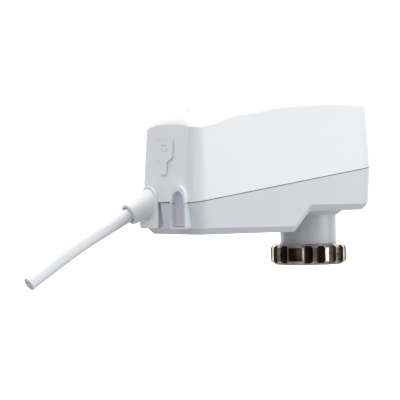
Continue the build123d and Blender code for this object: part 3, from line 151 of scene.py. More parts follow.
class Shade:
    """Node tree of one material, with its principled shader."""

    def __init__(self, name: str) -> None:
        """Make an empty tree with a principled shader on its output."""
        self.material = bpy.data.materials.new(name)
        self.material.use_nodes = True
        self.tree = self.material.node_tree
        self.tree.nodes.clear()
        output = self.tree.nodes.new("ShaderNodeOutputMaterial")
        self.shader = self.tree.nodes.new("ShaderNodeBsdfPrincipled")
        self.tree.links.new(self.shader.outputs["BSDF"], output.inputs["Surface"])
        self._place: Wire | None = None

    def feed(self, socket: bpy.types.NodeSocket, value: object) -> None:
        """Link or set one input socket."""
        if isinstance(value, Wire):
            self.tree.links.new(value.socket, socket)
        elif isinstance(value, tuple) and socket.type == "RGBA" and len(value) == 3:
            socket.default_value = (*value, 1.0)
        else:
            socket.default_value = value

    def node(self, kind: str, settings: dict[str, object], inputs: dict[object, object],
             output: int | str = 0) -> Wire:
        """Add one node.

        Args:
            kind: The node's type.
            settings: Properties, set first; "stops" fills a colour ramp with (place, colour) pairs.
            inputs: Values or wires by socket name or number.
            output: Name or number of the output that is wanted.

        Returns:
            The wanted output.
        """
        made = self.tree.nodes.new(kind)
        for name, value in settings.items():
            if name == "stops":
                self._stops(made, value)
            else:
                setattr(made, name, value)
        for name, value in inputs.items():
            self.feed(made.inputs[name], value)
        return Wire(self, made.outputs[output])

    @staticmethod
    def _stops(made: bpy.types.Node, stops: Sequence[tuple[float, Colour]]) -> None:
        """Fill a colour ramp."""
        elements = made.color_ramp.elements
        while len(elements) < len(stops):
            elements.new(1.0)
        for element, (place, colour) in zip(elements, stops):
            element.position = place
            element.color = (*colour, 1.0)

    def place(self) -> Wire:
        """Position on the object at rest, in metres."""
        if self._place is None:
            self._place = self.node("ShaderNodeTexCoord", {}, {}, "Object")
        return self._place

    def axis(self, name: str, vector: Wire | None = None) -> Wire:
        """One component of a vector, which is the place unless another is given."""
        source = self.place() if vector is None else vector
        return self.node("ShaderNodeSeparateXYZ", {}, {0: source}, name)

    def noise(self, scale: float, detail: float = 2.0, vector: Wire | None = None,
              roughness: float = 0.5) -> Wire:
        """Smooth noise about 0.5 at a scale in cycles for each metre."""
        source = self.place() if vector is None else vector
        return self.node(
            "ShaderNodeTexNoise", {},
            {"Vector": source, "Scale": scale, "Detail": detail, "Roughness": roughness}, 0,
        )

    def stretch(self, x: float, y: float, z: float) -> Wire:
        """Place with its axes scaled, for grain that runs one way."""
        inputs = {0: self.place(), 1: (x, y, z)}
        return self.node("ShaderNodeVectorMath", {"operation": "MULTIPLY"}, inputs)

    def blend(self, share: Wire | float, low: Colour | Wire, high: Colour | Wire) -> Wire:
        """Mix two colours by a share."""
        return self.node("ShaderNodeMix", {"data_type": "RGBA"}, {0: share, 6: low, 7: high}, 2)

    def facing(self) -> Wire:
        """Surface normal in the object's own axes."""
        return self.node("ShaderNodeTexCoord", {}, {}, "Normal")

    def dress(self, values: dict[str, object]) -> bpy.types.Material:
        """Set the principled shader's sockets and hand over the material."""
        for name, value in values.items():
            self.feed(self.shader.inputs[name], value)
        return self.material

    def bump(self, height: Wire, depth: float) -> Wire:
        """Normal disturbed by a height, with a depth in metres."""
        return self.node("ShaderNodeBump", {}, {"Height": height, "Strength": 1.0, "Distance": depth})


# ---------------------------------------------------------------- finishes


@dataclass(frozen=True)
class MouldedPlastic:
    """Injection moulded plastic with a spark-eroded grain."""

    name: str
    colour: Colour
    roughness: float = 0.42
    grain: float = 2600.0
    depth: float = 0.000012
    drift: float = 0.018
    warm: float = 0.004

    def material(self) -> bpy.types.Material:
        """Make the material.

        Returns:
            The finished material.
        """
        shade = Shade(self.name)
        cloud = shade.noise(34.0, 3.0)
        flow = shade.noise(9.0, 2.0, shade.stretch(1.0, 2.2, 0.8))
        dim = tuple(c * (1 - self.drift) for c in self.colour)
        lit = (self.colour[0] * (1 + self.drift), self.colour[1] * (1 + self.drift),
               self.colour[2] * (1 + self.drift - self.warm))
        pits = shade.noise(self.grain, 3.0, roughness=0.62)
        cells = shade.node("ShaderNodeTexVoronoi", {"feature": "F1"},
                           {"Vector": shade.place(), "Scale": self.grain * 0.8}, "Distance")
        height = pits * 0.7 + cells * 0.5
        share = (cloud * 0.6 + flow * 0.4).ramp(0.3, 0.7)
        tone = shade.blend(share, dim, lit)
        # Painted shade: the colour darkens slightly in the grain's pits.
        tone = shade.blend(pits.ramp(0.62, 0.36) * 0.05, tone, tuple(c * 0.7 for c in self.colour))
        rough = self.roughness + (cloud - 0.5) * 0.1 + (pits - 0.5) * 0.12
        return shade.dress({
            "Base Color": tone, "Roughness": rough, "Normal": shade.bump(height, self.depth),
            "IOR": 1.49, "Specular IOR Level": 0.45, "Subsurface Weight": 0.04,
            "Subsurface Radius": (0.9, 0.9, 0.85), "Subsurface Scale": 0.0015,
        })


@dataclass(frozen=True)
class SoftPlastic:
    """Smooth flexible plastic of a cable sheath or boot, with faint draw marks."""

    name: str
    colour: Colour
    roughness: float = 0.34
    marks: float = 260.0

    def material(self) -> bpy.types.Material:
        """Make the material.

        Returns:
            The finished material.
        """
        shade = Shade(self.name)
        drift = shade.noise(45.0, 3.0)
        rub = shade.noise(self.marks, 4.0, shade.stretch(0.25, 1.0, 0.25))
        fine = shade.noise(2400.0, 2.0)
        dull = tuple(c * 0.94 for c in self.colour)
        tone = shade.blend(drift.ramp(0.35, 0.7), dull, self.colour)
        tone = shade.blend(rub.ramp(0.62, 0.75) * 0.12, tone, tuple(c * 0.82 for c in self.colour))
        return shade.dress({
            "Base Color": tone, "Roughness": self.roughness + (rub - 0.5) * 0.16,
            "Normal": shade.bump(rub * 0.7 + fine * 0.3, 0.00002), "IOR": 1.5,
            "Subsurface Weight": 0.08, "Subsurface Radius": (1.0, 1.0, 0.95), "Subsurface Scale": 0.0015,
        })


class Lay(Enum):
    """Way in which a metal surface was worked."""

    ROLLED = (0.08, 1.0, 1.0)
    TURNED = (1.0, 1.0, 0.05)
    TUMBLED = (1.0, 1.0, 1.0)


@dataclass(frozen=True)
class WorkedMetal:
    """Rolled, turned or tumbled metal with stains and fine tool lines."""

    name: str
    colour: Colour
    stain: Colour
    roughness: float = 0.28
    lay: Lay = Lay.ROLLED
    lines: float = 2400.0
    spangle: float = 0.25

    def material(self) -> bpy.types.Material:
        """Make the material.

        Returns:
            The finished material.
        """
        shade = Shade(self.name)
        x, y, z = self.lay.value
        along = shade.stretch(x, y, z)
        if self.lay is Lay.TURNED:
            along = shade.stretch(0.15, 0.15, 1.0)
        scratch = shade.noise(self.lines, 3.0, along)
        patch = shade.noise(120.0, 4.0)
        flakes = shade.node("ShaderNodeTexVoronoi", {"feature": "F1"},
                            {"Vector": shade.place(), "Scale": 700.0}, "Color")
        flake = shade.axis("X", flakes)
        share = (patch.ramp(0.45, 0.75) + flake * self.spangle * 0.4) * 0.6
        tone = shade.blend(share, self.colour, self.stain)
        return shade.dress({
            "Base Color": tone, "Metallic": 1.0,
            "Roughness": self.roughness + (patch - 0.5) * 0.15 + (scratch - 0.5) * 0.14 + flake * 0.05,
            "Normal": shade.bump(scratch, 0.000012),
        })


@dataclass(frozen=True)
class NutPlatingPaintedLight:
    """Nickel plating of the fluted nut with painted light: painted highlights on bevels and ribs,
    painted dark reflection and shade in the flutes and on the lands.
    """

    name: str = "nut_plating_painted_light"
    # Tones of painted light: a painted highlight for bevels and ribs, a painted dark reflection for
    # flutes and lands.
    painted_highlight: Colour = srgb(214, 205, 192)
    rib_painted_sheen: Colour = srgb(150, 134, 118)
    painted_dark_reflection: Colour = srgb(38, 27, 22)
    olive: Colour = srgb(58, 52, 42)
    pitches: int = 18
    land_every: int = 6
    land_angle: float = math.radians(214.0)

    def material(self) -> bpy.types.Material:
        """Make the material.

        Returns:
            The finished material.
        """
        shade = Shade(self.name)
        x, y = shade.axis("X"), shade.axis("Y")
        angle = shade.node("ShaderNodeMath", {"operation": "ARCTAN2"}, {0: y, 1: x})
        radius = (x * x + y * y) ** 0.5
        pitch = math.tau / self.pitches
        turns = (angle - self.land_angle + math.tau * 2) % math.tau
        within = abs((turns / pitch + 0.5) % 1.0 - 0.5)
        group = abs((turns / (pitch * self.land_every) + 0.5) % 1.0 - 0.5) * self.land_every
        on_land = group.ramp(0.72, 0.6)
        between = within.ramp(0.31, 0.4) * (1.0 - on_land)
        margin = group.ramp(0.5, 0.64) * on_land
        # Faces that turn up or down (the bevels) get a painted highlight; side faces get the painted
        # flute pattern.
        flat = shade.axis("Z", shade.facing())
        side = 1.0 - abs(flat).ramp(0.25, 0.6)
        outside = radius.ramp(0.0158, 0.0162)
        cloud = shade.noise(260.0, 4.0)
        streak = shade.noise(1500.0, 3.0, shade.stretch(1.0, 1.0, 0.08))
        # Painted dark reflection and shade in the flutes and on the lands, painted highlight on the ribs
        # between them.
        painted_flute_shade = shade.blend(cloud.ramp(0.35, 0.7), self.painted_dark_reflection, self.olive)
        painted_rib_sheen = shade.blend(cloud.ramp(0.3, 0.75), self.rib_painted_sheen, self.painted_highlight)
        share = (between + margin * 0.7).least(1.0) * (0.75 + streak * 0.5).least(1.0)
        body = shade.blend(share, painted_flute_shade, painted_rib_sheen)
        # Painted highlight on the bevels; inside the bore a mid tone of the same painted palette.
        bevel = shade.blend(cloud.ramp(0.3, 0.8), self.painted_highlight, self.rib_painted_sheen)
        inner = shade.blend(cloud.ramp(0.3, 0.8), self.rib_painted_sheen, self.olive)
        tone = shade.blend(side * outside, shade.blend(outside, inner, bevel), body)
        return shade.dress({
            "Base Color": tone, "Metallic": 1.0,
            "Roughness": 0.17 + cloud * 0.12 + (streak - 0.5) * 0.1,
            "Normal": shade.bump(streak * 0.6 + cloud * 0.4, 0.000015),
        })


@dataclass(frozen=True)
class Rubber:
    """Matt black sealing rubber with a dusty bloom."""

    name: str
    colour: Colour = (0.012, 0.012, 0.014)

    def material(self) -> bpy.types.Material:
        """Make the material.

        Returns:
            The finished material.
        """
        shade = Shade(self.name)
        bloom = shade.noise(160.0, 4.0)
        grit = shade.noise(3000.0, 2.0)
        tone = shade.blend(bloom.ramp(0.45, 0.8) * 0.5, self.colour, (0.04, 0.04, 0.045))
        return shade.dress({
            "Base Color": tone, "Roughness": 0.72 + (grit - 0.5) * 0.2,
            "Normal": shade.bump(grit, 0.00002), "IOR": 1.5,
        })


@dataclass(frozen=True)
class BoardLaminate:
    """Green solder resist over copper tracks and pours, with bare laminate edges."""

    name: str = "board_laminate"
    resist: Colour = srgb(20, 92, 52)
    track: Colour = srgb(38, 122, 66)
    edge: Colour = srgb(178, 168, 118)
    lane: float = 0.0021

    def material(self) -> bpy.types.Material:
        """Make the material.

        Returns:
            The finished material.
        """
        shade = Shade(self.name)
        x, y = shade.axis("X"), shade.axis("Y")
        block = shade.node("ShaderNodeTexVoronoi", {"feature": "F1", "distance": "CHEBYCHEV"},
                           {"Vector": shade.stretch(1.0, 1.0, 0.0), "Scale": 85.0}, "Color")
        pick = shade.axis("X", block)
        lane_x = abs((x / self.lane) % 1.0 - 0.5).ramp(0.27, 0.22)
        lane_y = abs((y / self.lane) % 1.0 - 0.5).ramp(0.27, 0.22)
        across = pick.ramp(0.49, 0.51)
        tracks = lane_x * across + lane_y * (1.0 - across)
        pour = pick.ramp(0.78, 0.8)
        copper = tracks.most(pour)
        flat = abs(shade.axis("Z", shade.facing())).ramp(0.4, 0.8)
        weave = shade.noise(900.0, 2.0)
        resist = shade.blend(copper, self.resist, self.track)
        resist = shade.blend((weave - 0.5) * 0.3, resist, self.resist)
        tone = shade.blend(flat, self.edge, resist)
        return shade.dress({
            "Base Color": tone, "Roughness": 0.3 + (1.0 - flat) * 0.4 + (weave - 0.5) * 0.08,
            "Normal": shade.bump(copper, 0.00003), "IOR": 1.5, "Coat Roughness": 0.2,
        })


@dataclass(frozen=True)
class Sleeve:
    """Shrink sleeve of the capacitor, with a pale polarity stripe."""

    name: str = "capacitor_sleeve"
    colour: Colour = srgb(22, 28, 52)
    stripe: Colour = srgb(205, 208, 212)
    centre_y: float = 0.0

    def material(self) -> bpy.types.Material:
        """Make the material.

        Returns:
            The finished material.
        """
        shade = Shade(self.name)
        side = shade.axis("Y", shade.facing())
        cloud = shade.noise(300.0, 3.0)
        band = side.ramp(0.72, 0.76) * (shade.axis("Y") - self.centre_y).ramp(0.0, 0.001)
        tone = shade.blend(band, self.colour, self.stripe)
        return shade.dress({
            "Base Color": tone, "Roughness": 0.25 + (cloud - 0.5) * 0.15,
            "Normal": shade.bump(cloud, 0.00003), "IOR": 1.5,
        })


@dataclass(frozen=True)
class ClearLens:
    """Tinted lens of the status lamp."""

    name: str = "lamp_lens"
    colour: Colour = srgb(120, 215, 120)

    def material(self) -> bpy.types.Material:
        """Make the material.

        Returns:
            The finished material.
        """
        shade = Shade(self.name)
        haze = shade.noise(500.0, 3.0)
        tone = shade.blend(haze.ramp(0.4, 0.7), self.colour, srgb(190, 240, 190))
        return shade.dress({
            "Base Color": tone, "Roughness": 0.12 + haze * 0.1, "IOR": 1.5,
            "Transmission Weight": 0.55, "Normal": shade.bump(haze, 0.00002),
        })


COVER = MouldedPlastic("cover_plastic", srgb(240, 242, 245))
BASE = MouldedPlastic("base_plastic", srgb(220, 225, 232), roughness=0.45)
# Neck sleeve: the base's grey made darker, a painted shade from the body above it.
SLEEVE = MouldedPlastic("sleeve_plastic", srgb(196, 199, 206), roughness=0.36, grain=3400.0)
# Blanking plate: the base's grey, darkened and tinted lavender with the painted shade of its recess.
BLANK = MouldedPlastic("blank_plastic_painted_shade", srgb(206, 204, 218), roughness=0.46)
BOOT = SoftPlastic("boot_plastic", srgb(238, 240, 243), roughness=0.38)
SHEATH = SoftPlastic("cable_sheath", srgb(238, 240, 243), roughness=0.3)
ACETAL = MouldedPlastic("gear_acetal", srgb(232, 228, 214), roughness=0.34, grain=1500.0, drift=0.03)
SWITCH_RED = MouldedPlastic("switch_red", srgb(176, 32, 30), roughness=0.4)
SLIDER_WHITE = MouldedPlastic("slider_white", srgb(236, 236, 232), roughness=0.4)
TERMINAL_GREEN = MouldedPlastic("terminal_green", srgb(46, 128, 78), roughness=0.4)
EPOXY = MouldedPlastic("chip_epoxy", srgb(34, 34, 36), roughness=0.5, grain=4000.0)
LEAD_BROWN = SoftPlastic("lead_sheath", srgb(104, 62, 40), roughness=0.3, marks=900.0)
FILM_YELLOW = MouldedPlastic("film_yellow", srgb(214, 170, 60), roughness=0.35)
STEEL = WorkedMetal("bright_steel", srgb(196, 197, 200), srgb(150, 150, 152), 0.26, Lay.TUMBLED)
SPRING = WorkedMetal("spring_steel", srgb(96, 94, 92), srgb(60, 56, 52), 0.3, Lay.TUMBLED)
ZINC = WorkedMetal("zinc_sheet", srgb(200, 202, 206), srgb(158, 160, 165), 0.34, Lay.ROLLED, spangle=0.6)
BRASS = WorkedMetal("turned_brass", srgb(214, 178, 104), srgb(168, 128, 66), 0.26, Lay.TURNED)
COPPER = WorkedMetal("cut_copper", srgb(226, 196, 178), srgb(196, 160, 140), 0.3, Lay.TUMBLED)
TIN = WorkedMetal("tinned_ends", srgb(206, 208, 210), srgb(170, 172, 175), 0.22, Lay.TUMBLED)


# ---------------------------------------------------------------- mesh making

Ring = list[Vector]


def paint(target: bpy.types.Object, material: bpy.types.Material) -> None:
    """Give an object one material."""
    target.data.materials.clear()
    target.data.materials.append(material)


def add_mesh(name: str, bm: bmesh.types.BMesh, crease_deg: float = 32.0) -> bpy.types.Object:
    """Turn a bmesh into an object with smooth faces and sharp creases.

    Args:
        name: The piece's name.
        bm: The mesh, which is freed.
        crease_deg: Angle above which an edge stays sharp.

    Returns:
        The new object, linked to the scene.
    """
    bmesh.ops.recalc_face_normals(bm, faces=bm.faces)
    mesh = bpy.data.meshes.new(name)
    bm.to_mesh(mesh)
    bm.free()
    mesh.shade_smooth()
    mesh.set_sharp_from_angle(angle=math.radians(crease_deg))
    made = bpy.data.objects.new(name, mesh)
    bpy.context.scene.collection.objects.link(made)
    return made


def join_rings(bm: bmesh.types.BMesh, rings: Sequence[Ring], cap_first: bool = False,
               cap_last: bool = False, closed: bool = False) -> None:
    """Skin a row of rings that hold the same number of points.

    Args:
        bm: Mesh that the faces are added to.
        rings: The rings, in order.
        cap_first: Close the first ring with a face.
        cap_last: Close the last ring with a face.
        closed: Join the last ring to the first.
    """
    rows = [[bm.verts.new(point) for point in ring] for ring in rings]
    pairs = list(zip(rows, rows[1:]))
    if closed:
        pairs.append((rows[-1], rows[0]))
    count = len(rows[0])
    for low, high in pairs:
        for place in range(count):
            after = (place + 1) % count
            bm.faces.new((low[place], low[after], high[after], high[place]))
    if cap_first:
        bm.faces.new(list(reversed(rows[0])))
    if cap_last:
        bm.faces.new(rows[-1])


def circle(centre: Vector, radius: float, count: int, z: float) -> Ring:
    """Level ring of points."""
    return [Vector((centre.x + radius * math.cos(math.tau * k / count),
                    centre.y + radius * math.sin(math.tau * k / count), z)) for k in range(count)]


def rounded_block(bm: bmesh.types.BMesh, low: Vector, high: Vector, bevel: float) -> None:
    """Add a box with rounded edges."""
    size = high - low
    matrix = Matrix.Translation((low + high) / 2) @ Matrix.Diagonal((*size, 1.0))
    made = bmesh.ops.create_cube(bm, size=1.0, matrix=matrix)
    edges = list({edge for vert in made["verts"] for edge in vert.link_edges})
    bmesh.ops.bevel(bm, geom=edges, offset=bevel, segments=3, affect="EDGES", profile=0.5)


@dataclass
class Island:
    """One solid of a node that holds several: its box."""

    low: Vector
    high: Vector

    @property
    def centre(self) -> Vector:
        """Middle of the box."""
        return (self.low + self.high) / 2


def islands(node: str) -> list[Island]:
    """Find the separate solids of a node.

    Args:
        node: The CAD node's name.

    Returns:
        The solids' boxes, in order of place.
    """
    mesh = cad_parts[node].data
    bm = bmesh.new()
    bm.from_mesh(mesh)
    bmesh.ops.remove_doubles(bm, verts=bm.verts, dist=1e-6)
    seen: set[int] = set()
    found: list[Island] = []
    bm.verts.ensure_lookup_table()
    for vert in bm.verts:
        if vert.index in seen:
            continue
        stack, low, high = [vert], vert.co.copy(), vert.co.copy()
        seen.add(vert.index)
        while stack:
            here = stack.pop()
            low = Vector(map(min, low, here.co))
            high = Vector(map(max, high, here.co))
            for edge in here.link_edges:
                other = edge.other_vert(here)
                if other.index not in seen:
                    seen.add(other.index)
                    stack.append(other)
        found.append(Island(low, high))
    bm.free()
    return sorted(found, key=lambda one: (round(one.low.x, 4), round(one.low.y, 4)))


# ---------------------------------------------------------------- sub-assemblies


@dataclass
class UnionNut:
    """Fluted union nut with a turned thread inside."""

    flutes: int = 18
    land_every: int = 6
    land_deg: float = 214.0
    depth: float = 1.0 * MM
    mouth: float = 4.0 * MM
    floor: float = 2.5 * MM
    chamfer: float = 1.8 * MM
    lip: float = 1.9 * MM
    thread_length: float = 5.5 * MM
    pitch: float = 1.5 * MM
    thread_depth: float = 0.7 * MM
    thread_start: float = 14.19 * MM
    relief: float = 14.75 * MM
    lip_bore: float = 13.65 * MM
    edge: float = 0.15 * MM
    parts: list[bpy.types.Object] = field(default_factory=list)

    def angles(self) -> list[tuple[float, float]]:
        """Angles round the nut, each with its flute depth.

        Returns:
            Pairs of an angle and how deep the surface lies there.
        """
        low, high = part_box("union_nut")
        radius = (high.x - low.x) / 2
        floor_r = radius - self.depth
        half_floor = math.atan(self.floor / 2 / floor_r)
        half_mouth = math.asin(self.mouth / 2 / radius)
        soft = math.radians(0.35)
        half_pitch = math.pi / self.flutes
        marks = [-half_pitch, -(half_pitch + half_mouth) / 2, -half_mouth - soft, -half_mouth + soft,
                 -(half_mouth + half_floor) / 2, -half_floor - soft, -half_floor + soft, -half_floor / 2,
                 0.0, half_floor / 2, half_floor - soft, half_floor + soft,
                 (half_mouth + half_floor) / 2, half_mouth - soft, half_mouth + soft,
                 (half_pitch + half_mouth) / 2]
        row: list[tuple[float, float]] = []
        for place in range(self.flutes):
            centre = math.radians(self.land_deg) + place * math.tau / self.flutes
            for mark in marks:
                off = abs(mark)
                if place % self.land_every == 0 or off >= half_mouth:
                    deep = 0.0
                elif off <= half_floor:
                    deep = radius - floor_r / math.cos(off)
                else:
                    deep = self.depth * (half_mouth - off) / (half_mouth - half_floor)
                row.append((centre + mark, deep))
        return row

    def outer(self, z: float, height: float, radius: float) -> float:
        """Radius of the chamfered blank at a height."""
        near = min(z, height - z)
        return radius - max(self.chamfer - near, 0.0)

    def build(self) -> None:
        """Build the nut and stand it in for the CAD node."""
        low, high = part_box("union_nut")
        radius, height = (high.x - low.x) / 2, high.z - low.z
        row = self.angles()
        rings: list[Ring] = []

        def ring(z: float, reach: Callable[[float, float], float]) -> None:
            """Add one ring whose radius is worked out for each angle."""
            rings.append([Vector((reach(a, d) * math.cos(a), reach(a, d) * math.sin(a), low.z + z))
                          for a, d in row])

        chamfer = self.chamfer
        levels = [0.0, 0.25, 0.5, 0.75, 1.0]
        outside = [chamfer * share for share in levels]
        outside += [height / 2]
        outside += [height - chamfer * share for share in reversed(levels)]
        for z in outside:
            blank = self.outer(z, height, radius)
            ring(z, lambda a, d, blank=blank: min(blank, radius - d))
        ring(height, lambda a, d: self.lip_bore + self.edge)
        ring(height - self.edge, lambda a, d: self.lip_bore)
        ring(height - self.lip, lambda a, d: self.lip_bore)
        ring(height - self.lip, lambda a, d: self.relief)
        ring(self.thread_length, lambda a, d: self.relief)
        steps = int(self.thread_length / self.pitch * 12)
        for step in range(steps + 1):
            z = self.thread_length * (1 - step / steps)
            fade = min(1.0, min(z, self.thread_length - z) / (self.pitch * 0.6))
            ring(z, lambda a, d, z=z, fade=fade: self.thread_start + fade * self.groove(z, a))
        bm = bmesh.new()
        join_rings(bm, rings, closed=True)
        bmesh.ops.remove_doubles(bm, verts=bm.verts, dist=1e-7)
        nut = add_mesh("union_nut_turned", bm, 24.0)
        paint(nut, NutPlatingPaintedLight().material())
        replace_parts(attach(nut, "nut"), "union_nut")
        LOG.info("union nut: %d rings", len(rings))

    def groove(self, z: float, angle: float) -> float:
        """Depth of the thread's groove at a height and an angle."""
        phase = (z / self.pitch - angle / math.tau) % 1.0
        return self.thread_depth * min(1.0, max(0.0, 1.25 - abs(phase - 0.5) * 3.2))


@dataclass
class PanScrews:
    """Group of pan head screws with a cross recess and a rolled thread."""

    node: str
    head: float
    shank: float
    material: bpy.types.Material
    pitch: float = 0.6 * MM
    rise: float = 1.0 * MM
    count: int = 40

    def head_height(self, x: float, y: float, reach: float) -> float:
        """Height of the head's top at a place: a dome with a cross-shaped recess."""
        dome = self.rise * (1 - 0.35 * reach**2)
        arm = 0.13 * self.head
        length = 0.55 * self.head
        inside = (abs(x) < arm and abs(y) < length) or (abs(y) < arm and abs(x) < length)
        return dome - (0.6 * self.rise if inside else 0.0)

    def build(self) -> None:
        """Build every screw of the node as one piece."""
        bm = bmesh.new()
        for one in islands(self.node):
            middle = one.centre
            seat = one.high.z - self.rise
            rings = [circle(middle, self.shank * 0.5, self.count, one.low.z)]
            turns = max(int((seat - one.low.z) / self.pitch * 4), 4)
            for step in range(turns + 1):
                z = one.low.z + (seat - one.low.z) * (step + 0.2) / (turns + 0.2)
                rings.append(self.thread_ring(middle, z, step in (0, turns)))
            rings.append(circle(middle, self.head * 0.97, self.count, seat))
            rings.append(circle(middle, self.head, self.count, seat + self.rise * 0.3))
            for reach in (0.93, 0.8, 0.68, 0.6, 0.5, 0.4, 0.3, 0.2, 0.1):
                rings.append(self.dome_ring(middle, seat, reach))
            join_rings(bm, rings, cap_first=True, cap_last=True)
        made = add_mesh(f"{self.node}_turned", bm, 28.0)
        paint(made, self.material)
        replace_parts(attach(made, "housing"), self.node)
        LOG.info("%s: screws built", self.node)

    def thread_ring(self, middle: Vector, z: float, plain: bool) -> Ring:
        """Ring of the shank, cut by the thread."""
        points = circle(middle, self.shank, self.count, z)
        for place, point in enumerate(points):
            phase = (z / self.pitch - place / self.count) % 1.0
            cut = 1.0 if plain else 1.0 - 0.14 * abs(phase * 2 - 1)
            point.x = middle.x + (point.x - middle.x) * cut
            point.y = middle.y + (point.y - middle.y) * cut
        return points

    def dome_ring(self, middle: Vector, seat: float, reach: float) -> Ring:
        """Ring of the head's top."""
        points = circle(middle, self.head * reach, self.count, seat)
        for point in points:
            point.z = seat + self.head_height(point.x - middle.x, point.y - middle.y, reach)
        return points


@dataclass
class Cable:
    """Round cable that leaves the boot and hangs in a gentle bend, with a square cut end."""

    radius: float = 3.2 * MM
    side: float = 13.2 * MM
    mouth: tuple[float, float] = (-91.85 * MM, 25.6 * MM)
    mouth_deg: float = 27.3
    mouth_depth: float = 1.6 * MM
    straight: float = 13.5 * MM
    route: tuple[tuple[float, float], ...] = (
        (-117.5 * MM, 12.4 * MM), (-131.0 * MM, 4.1 * MM), (-144.1 * MM, -4.3 * MM),
    )
    length: float = 61.85 * MM

    def points(self) -> list[Vector]:
        """Points of the route, from the bottom of the boot's mouth.

        Returns:
            The route's points in metres.
        """
        tilt = math.radians(self.mouth_deg)
        away = Vector((-math.cos(tilt), 0, -math.sin(tilt)))
        start = Vector((self.mouth[0], self.side, self.mouth[1])) - away * self.mouth_depth
        first = start + away * self.straight
        return [start, first] + [Vector((x, self.side, z)) for x, z in self.route]

    def build(self) -> None:
        """Build the cable as a smooth curve."""
        curve = bpy.data.curves.new("cable_run", "CURVE")
        curve.dimensions = "3D"
        spline = curve.splines.new("NURBS")
        places = self.points()
        spline.points.add(len(places) - 1)
        for knot, place in zip(spline.points, places):
            knot.co = (*place, 1.0)
        spline.order_u = 3
        spline.use_endpoint_u = True
        spline.resolution_u = 24
        curve.bevel_depth = self.radius
        curve.bevel_resolution = 12
        curve.use_fill_caps = True
        run = bpy.data.objects.new("cable_run", curve)
        bpy.context.scene.collection.objects.link(run)
        paint(run, SHEATH.material())
        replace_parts(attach(run, "housing"), "cable")
        LOG.info("cable: %d points", len(places))


@dataclass
class BoardParts:
    """Small parts soldered on the circuit board."""

    resistors: int = 4
    resistor: tuple[float, float, float] = (2.0 * MM, 1.25 * MM, 0.55 * MM)
    row_edges: tuple[float, float] = (1.0 * MM, 3.0 * MM)
    row_start_mm: float = 26
    row_step_mm: float = 4.2
    row_shift_mm: float = 1.5
    pin: tuple[float, float] = (0.35 * MM, 0.8 * MM)
    pins_per_side: int = 8
    pin_thick: float = 0.18 * MM
    can_segments: int = 48

    def top(self) -> float:
        """Height of the board's upper face."""
        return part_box("circuit_board")[1].z

    def build(self) -> None:
        """Build the small parts in rows between the large ones."""
        z = self.top()
        self.rows(z)
        self.pins(z)
        self.capacitor()
        self.film(z)

    def rows(self, z: float) -> None:
        """Two rows of chip resistors with tinned ends."""
        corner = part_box("circuit_board")[0]
        bodies, ends = bmesh.new(), bmesh.new()
        length, width, thick = self.resistor
        cap = length * 0.2
        for row, edge in enumerate(self.row_edges):
            for place in range(self.resistors):
                along = self.row_start_mm + place * self.row_step_mm + row * self.row_shift_mm
                low = Vector((corner.x + along * MM, corner.y + edge, z))
                rounded_block(bodies, low + Vector((cap, 0, 0)),
                              low + Vector((length - cap, width, thick)), 0.05 * MM)
                for start in (0.0, length - cap):
                    rounded_block(ends, low + Vector((start, 0, 0)),
                                  low + Vector((start + cap, width, thick)), 0.08 * MM)
        self.place(bodies, "chip_resistor_bodies", EPOXY, "chip_black")
        self.place(ends, "chip_resistor_ends", TIN, "steel")

    def pins(self, z: float) -> None:
        """Bent legs on two sides of the controller."""
        low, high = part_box("control_chip")
        thick, reach = self.pin
        legs = bmesh.new()
        for place in range(self.pins_per_side):
            x = low.x + (high.x - low.x) * (place + 0.5) / self.pins_per_side
            for y, way in ((low.y, -1), (high.y, 1)):
                a = Vector((x - thick / 2, min(y, y + way * reach), z))
                b = Vector((x + thick / 2, max(y, y + way * reach), z + self.pin_thick))
                rounded_block(legs, a, b, 0.04 * MM)
        self.place(legs, "controller_legs", TIN, "steel")

    def film(self, z: float) -> None:
        """Film capacitor box beside the terminal block."""
        low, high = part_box("terminal_block")
        corner = Vector((high.x + 5 * MM, low.y + 1 * MM, z))
        body = bmesh.new()
        rounded_block(body, corner, corner + Vector((12 * MM, 5 * MM, 6 * MM)), 0.5 * MM)
        self.place(body, "film_capacitor", FILM_YELLOW, "chip_black")

    def capacitor(self) -> None:
        """Lying electrolytic capacitor with a rolled groove and a scored end."""
        low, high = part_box("supply_capacitor")
        centre = (low + high) / 2
        radius = (high.z - low.z) / 2
        profile = [(0.0, 0.55), (0.0, 0.86), (0.02, 0.96), (0.05, 1.0), (0.62, 1.0), (0.67, 0.93),
                   (0.73, 0.93), (0.78, 1.0), (0.95, 1.0), (0.985, 0.97), (1.0, 0.86), (0.99, 0.8),
                   (0.99, 0.4)]
        count = self.can_segments
        rings = []
        for share, reach in profile:
            x = low.x + (high.x - low.x) * share
            rings.append([Vector((x, centre.y + reach * radius * math.cos(math.tau * k / count),
                                  centre.z + reach * radius * math.sin(math.tau * k / count)))
                          for k in range(count)])
        can = bmesh.new()
        join_rings(can, rings, cap_first=True, cap_last=True)
        made = add_mesh("supply_capacitor_can", can)
        paint(made, Sleeve(centre_y=centre.y).material())
        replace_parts(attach(made, "housing"), "supply_capacitor")

    @staticmethod
    def place(bm: bmesh.types.BMesh, name: str, finish: MouldedPlastic | WorkedMetal, slot: str) -> None:
        """Finish a mesh and ride it on the housing."""
        made = add_mesh(name, bm)
        paint(made, finish.material())
        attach(made, "housing")
        LOG.info("%s: built", name)


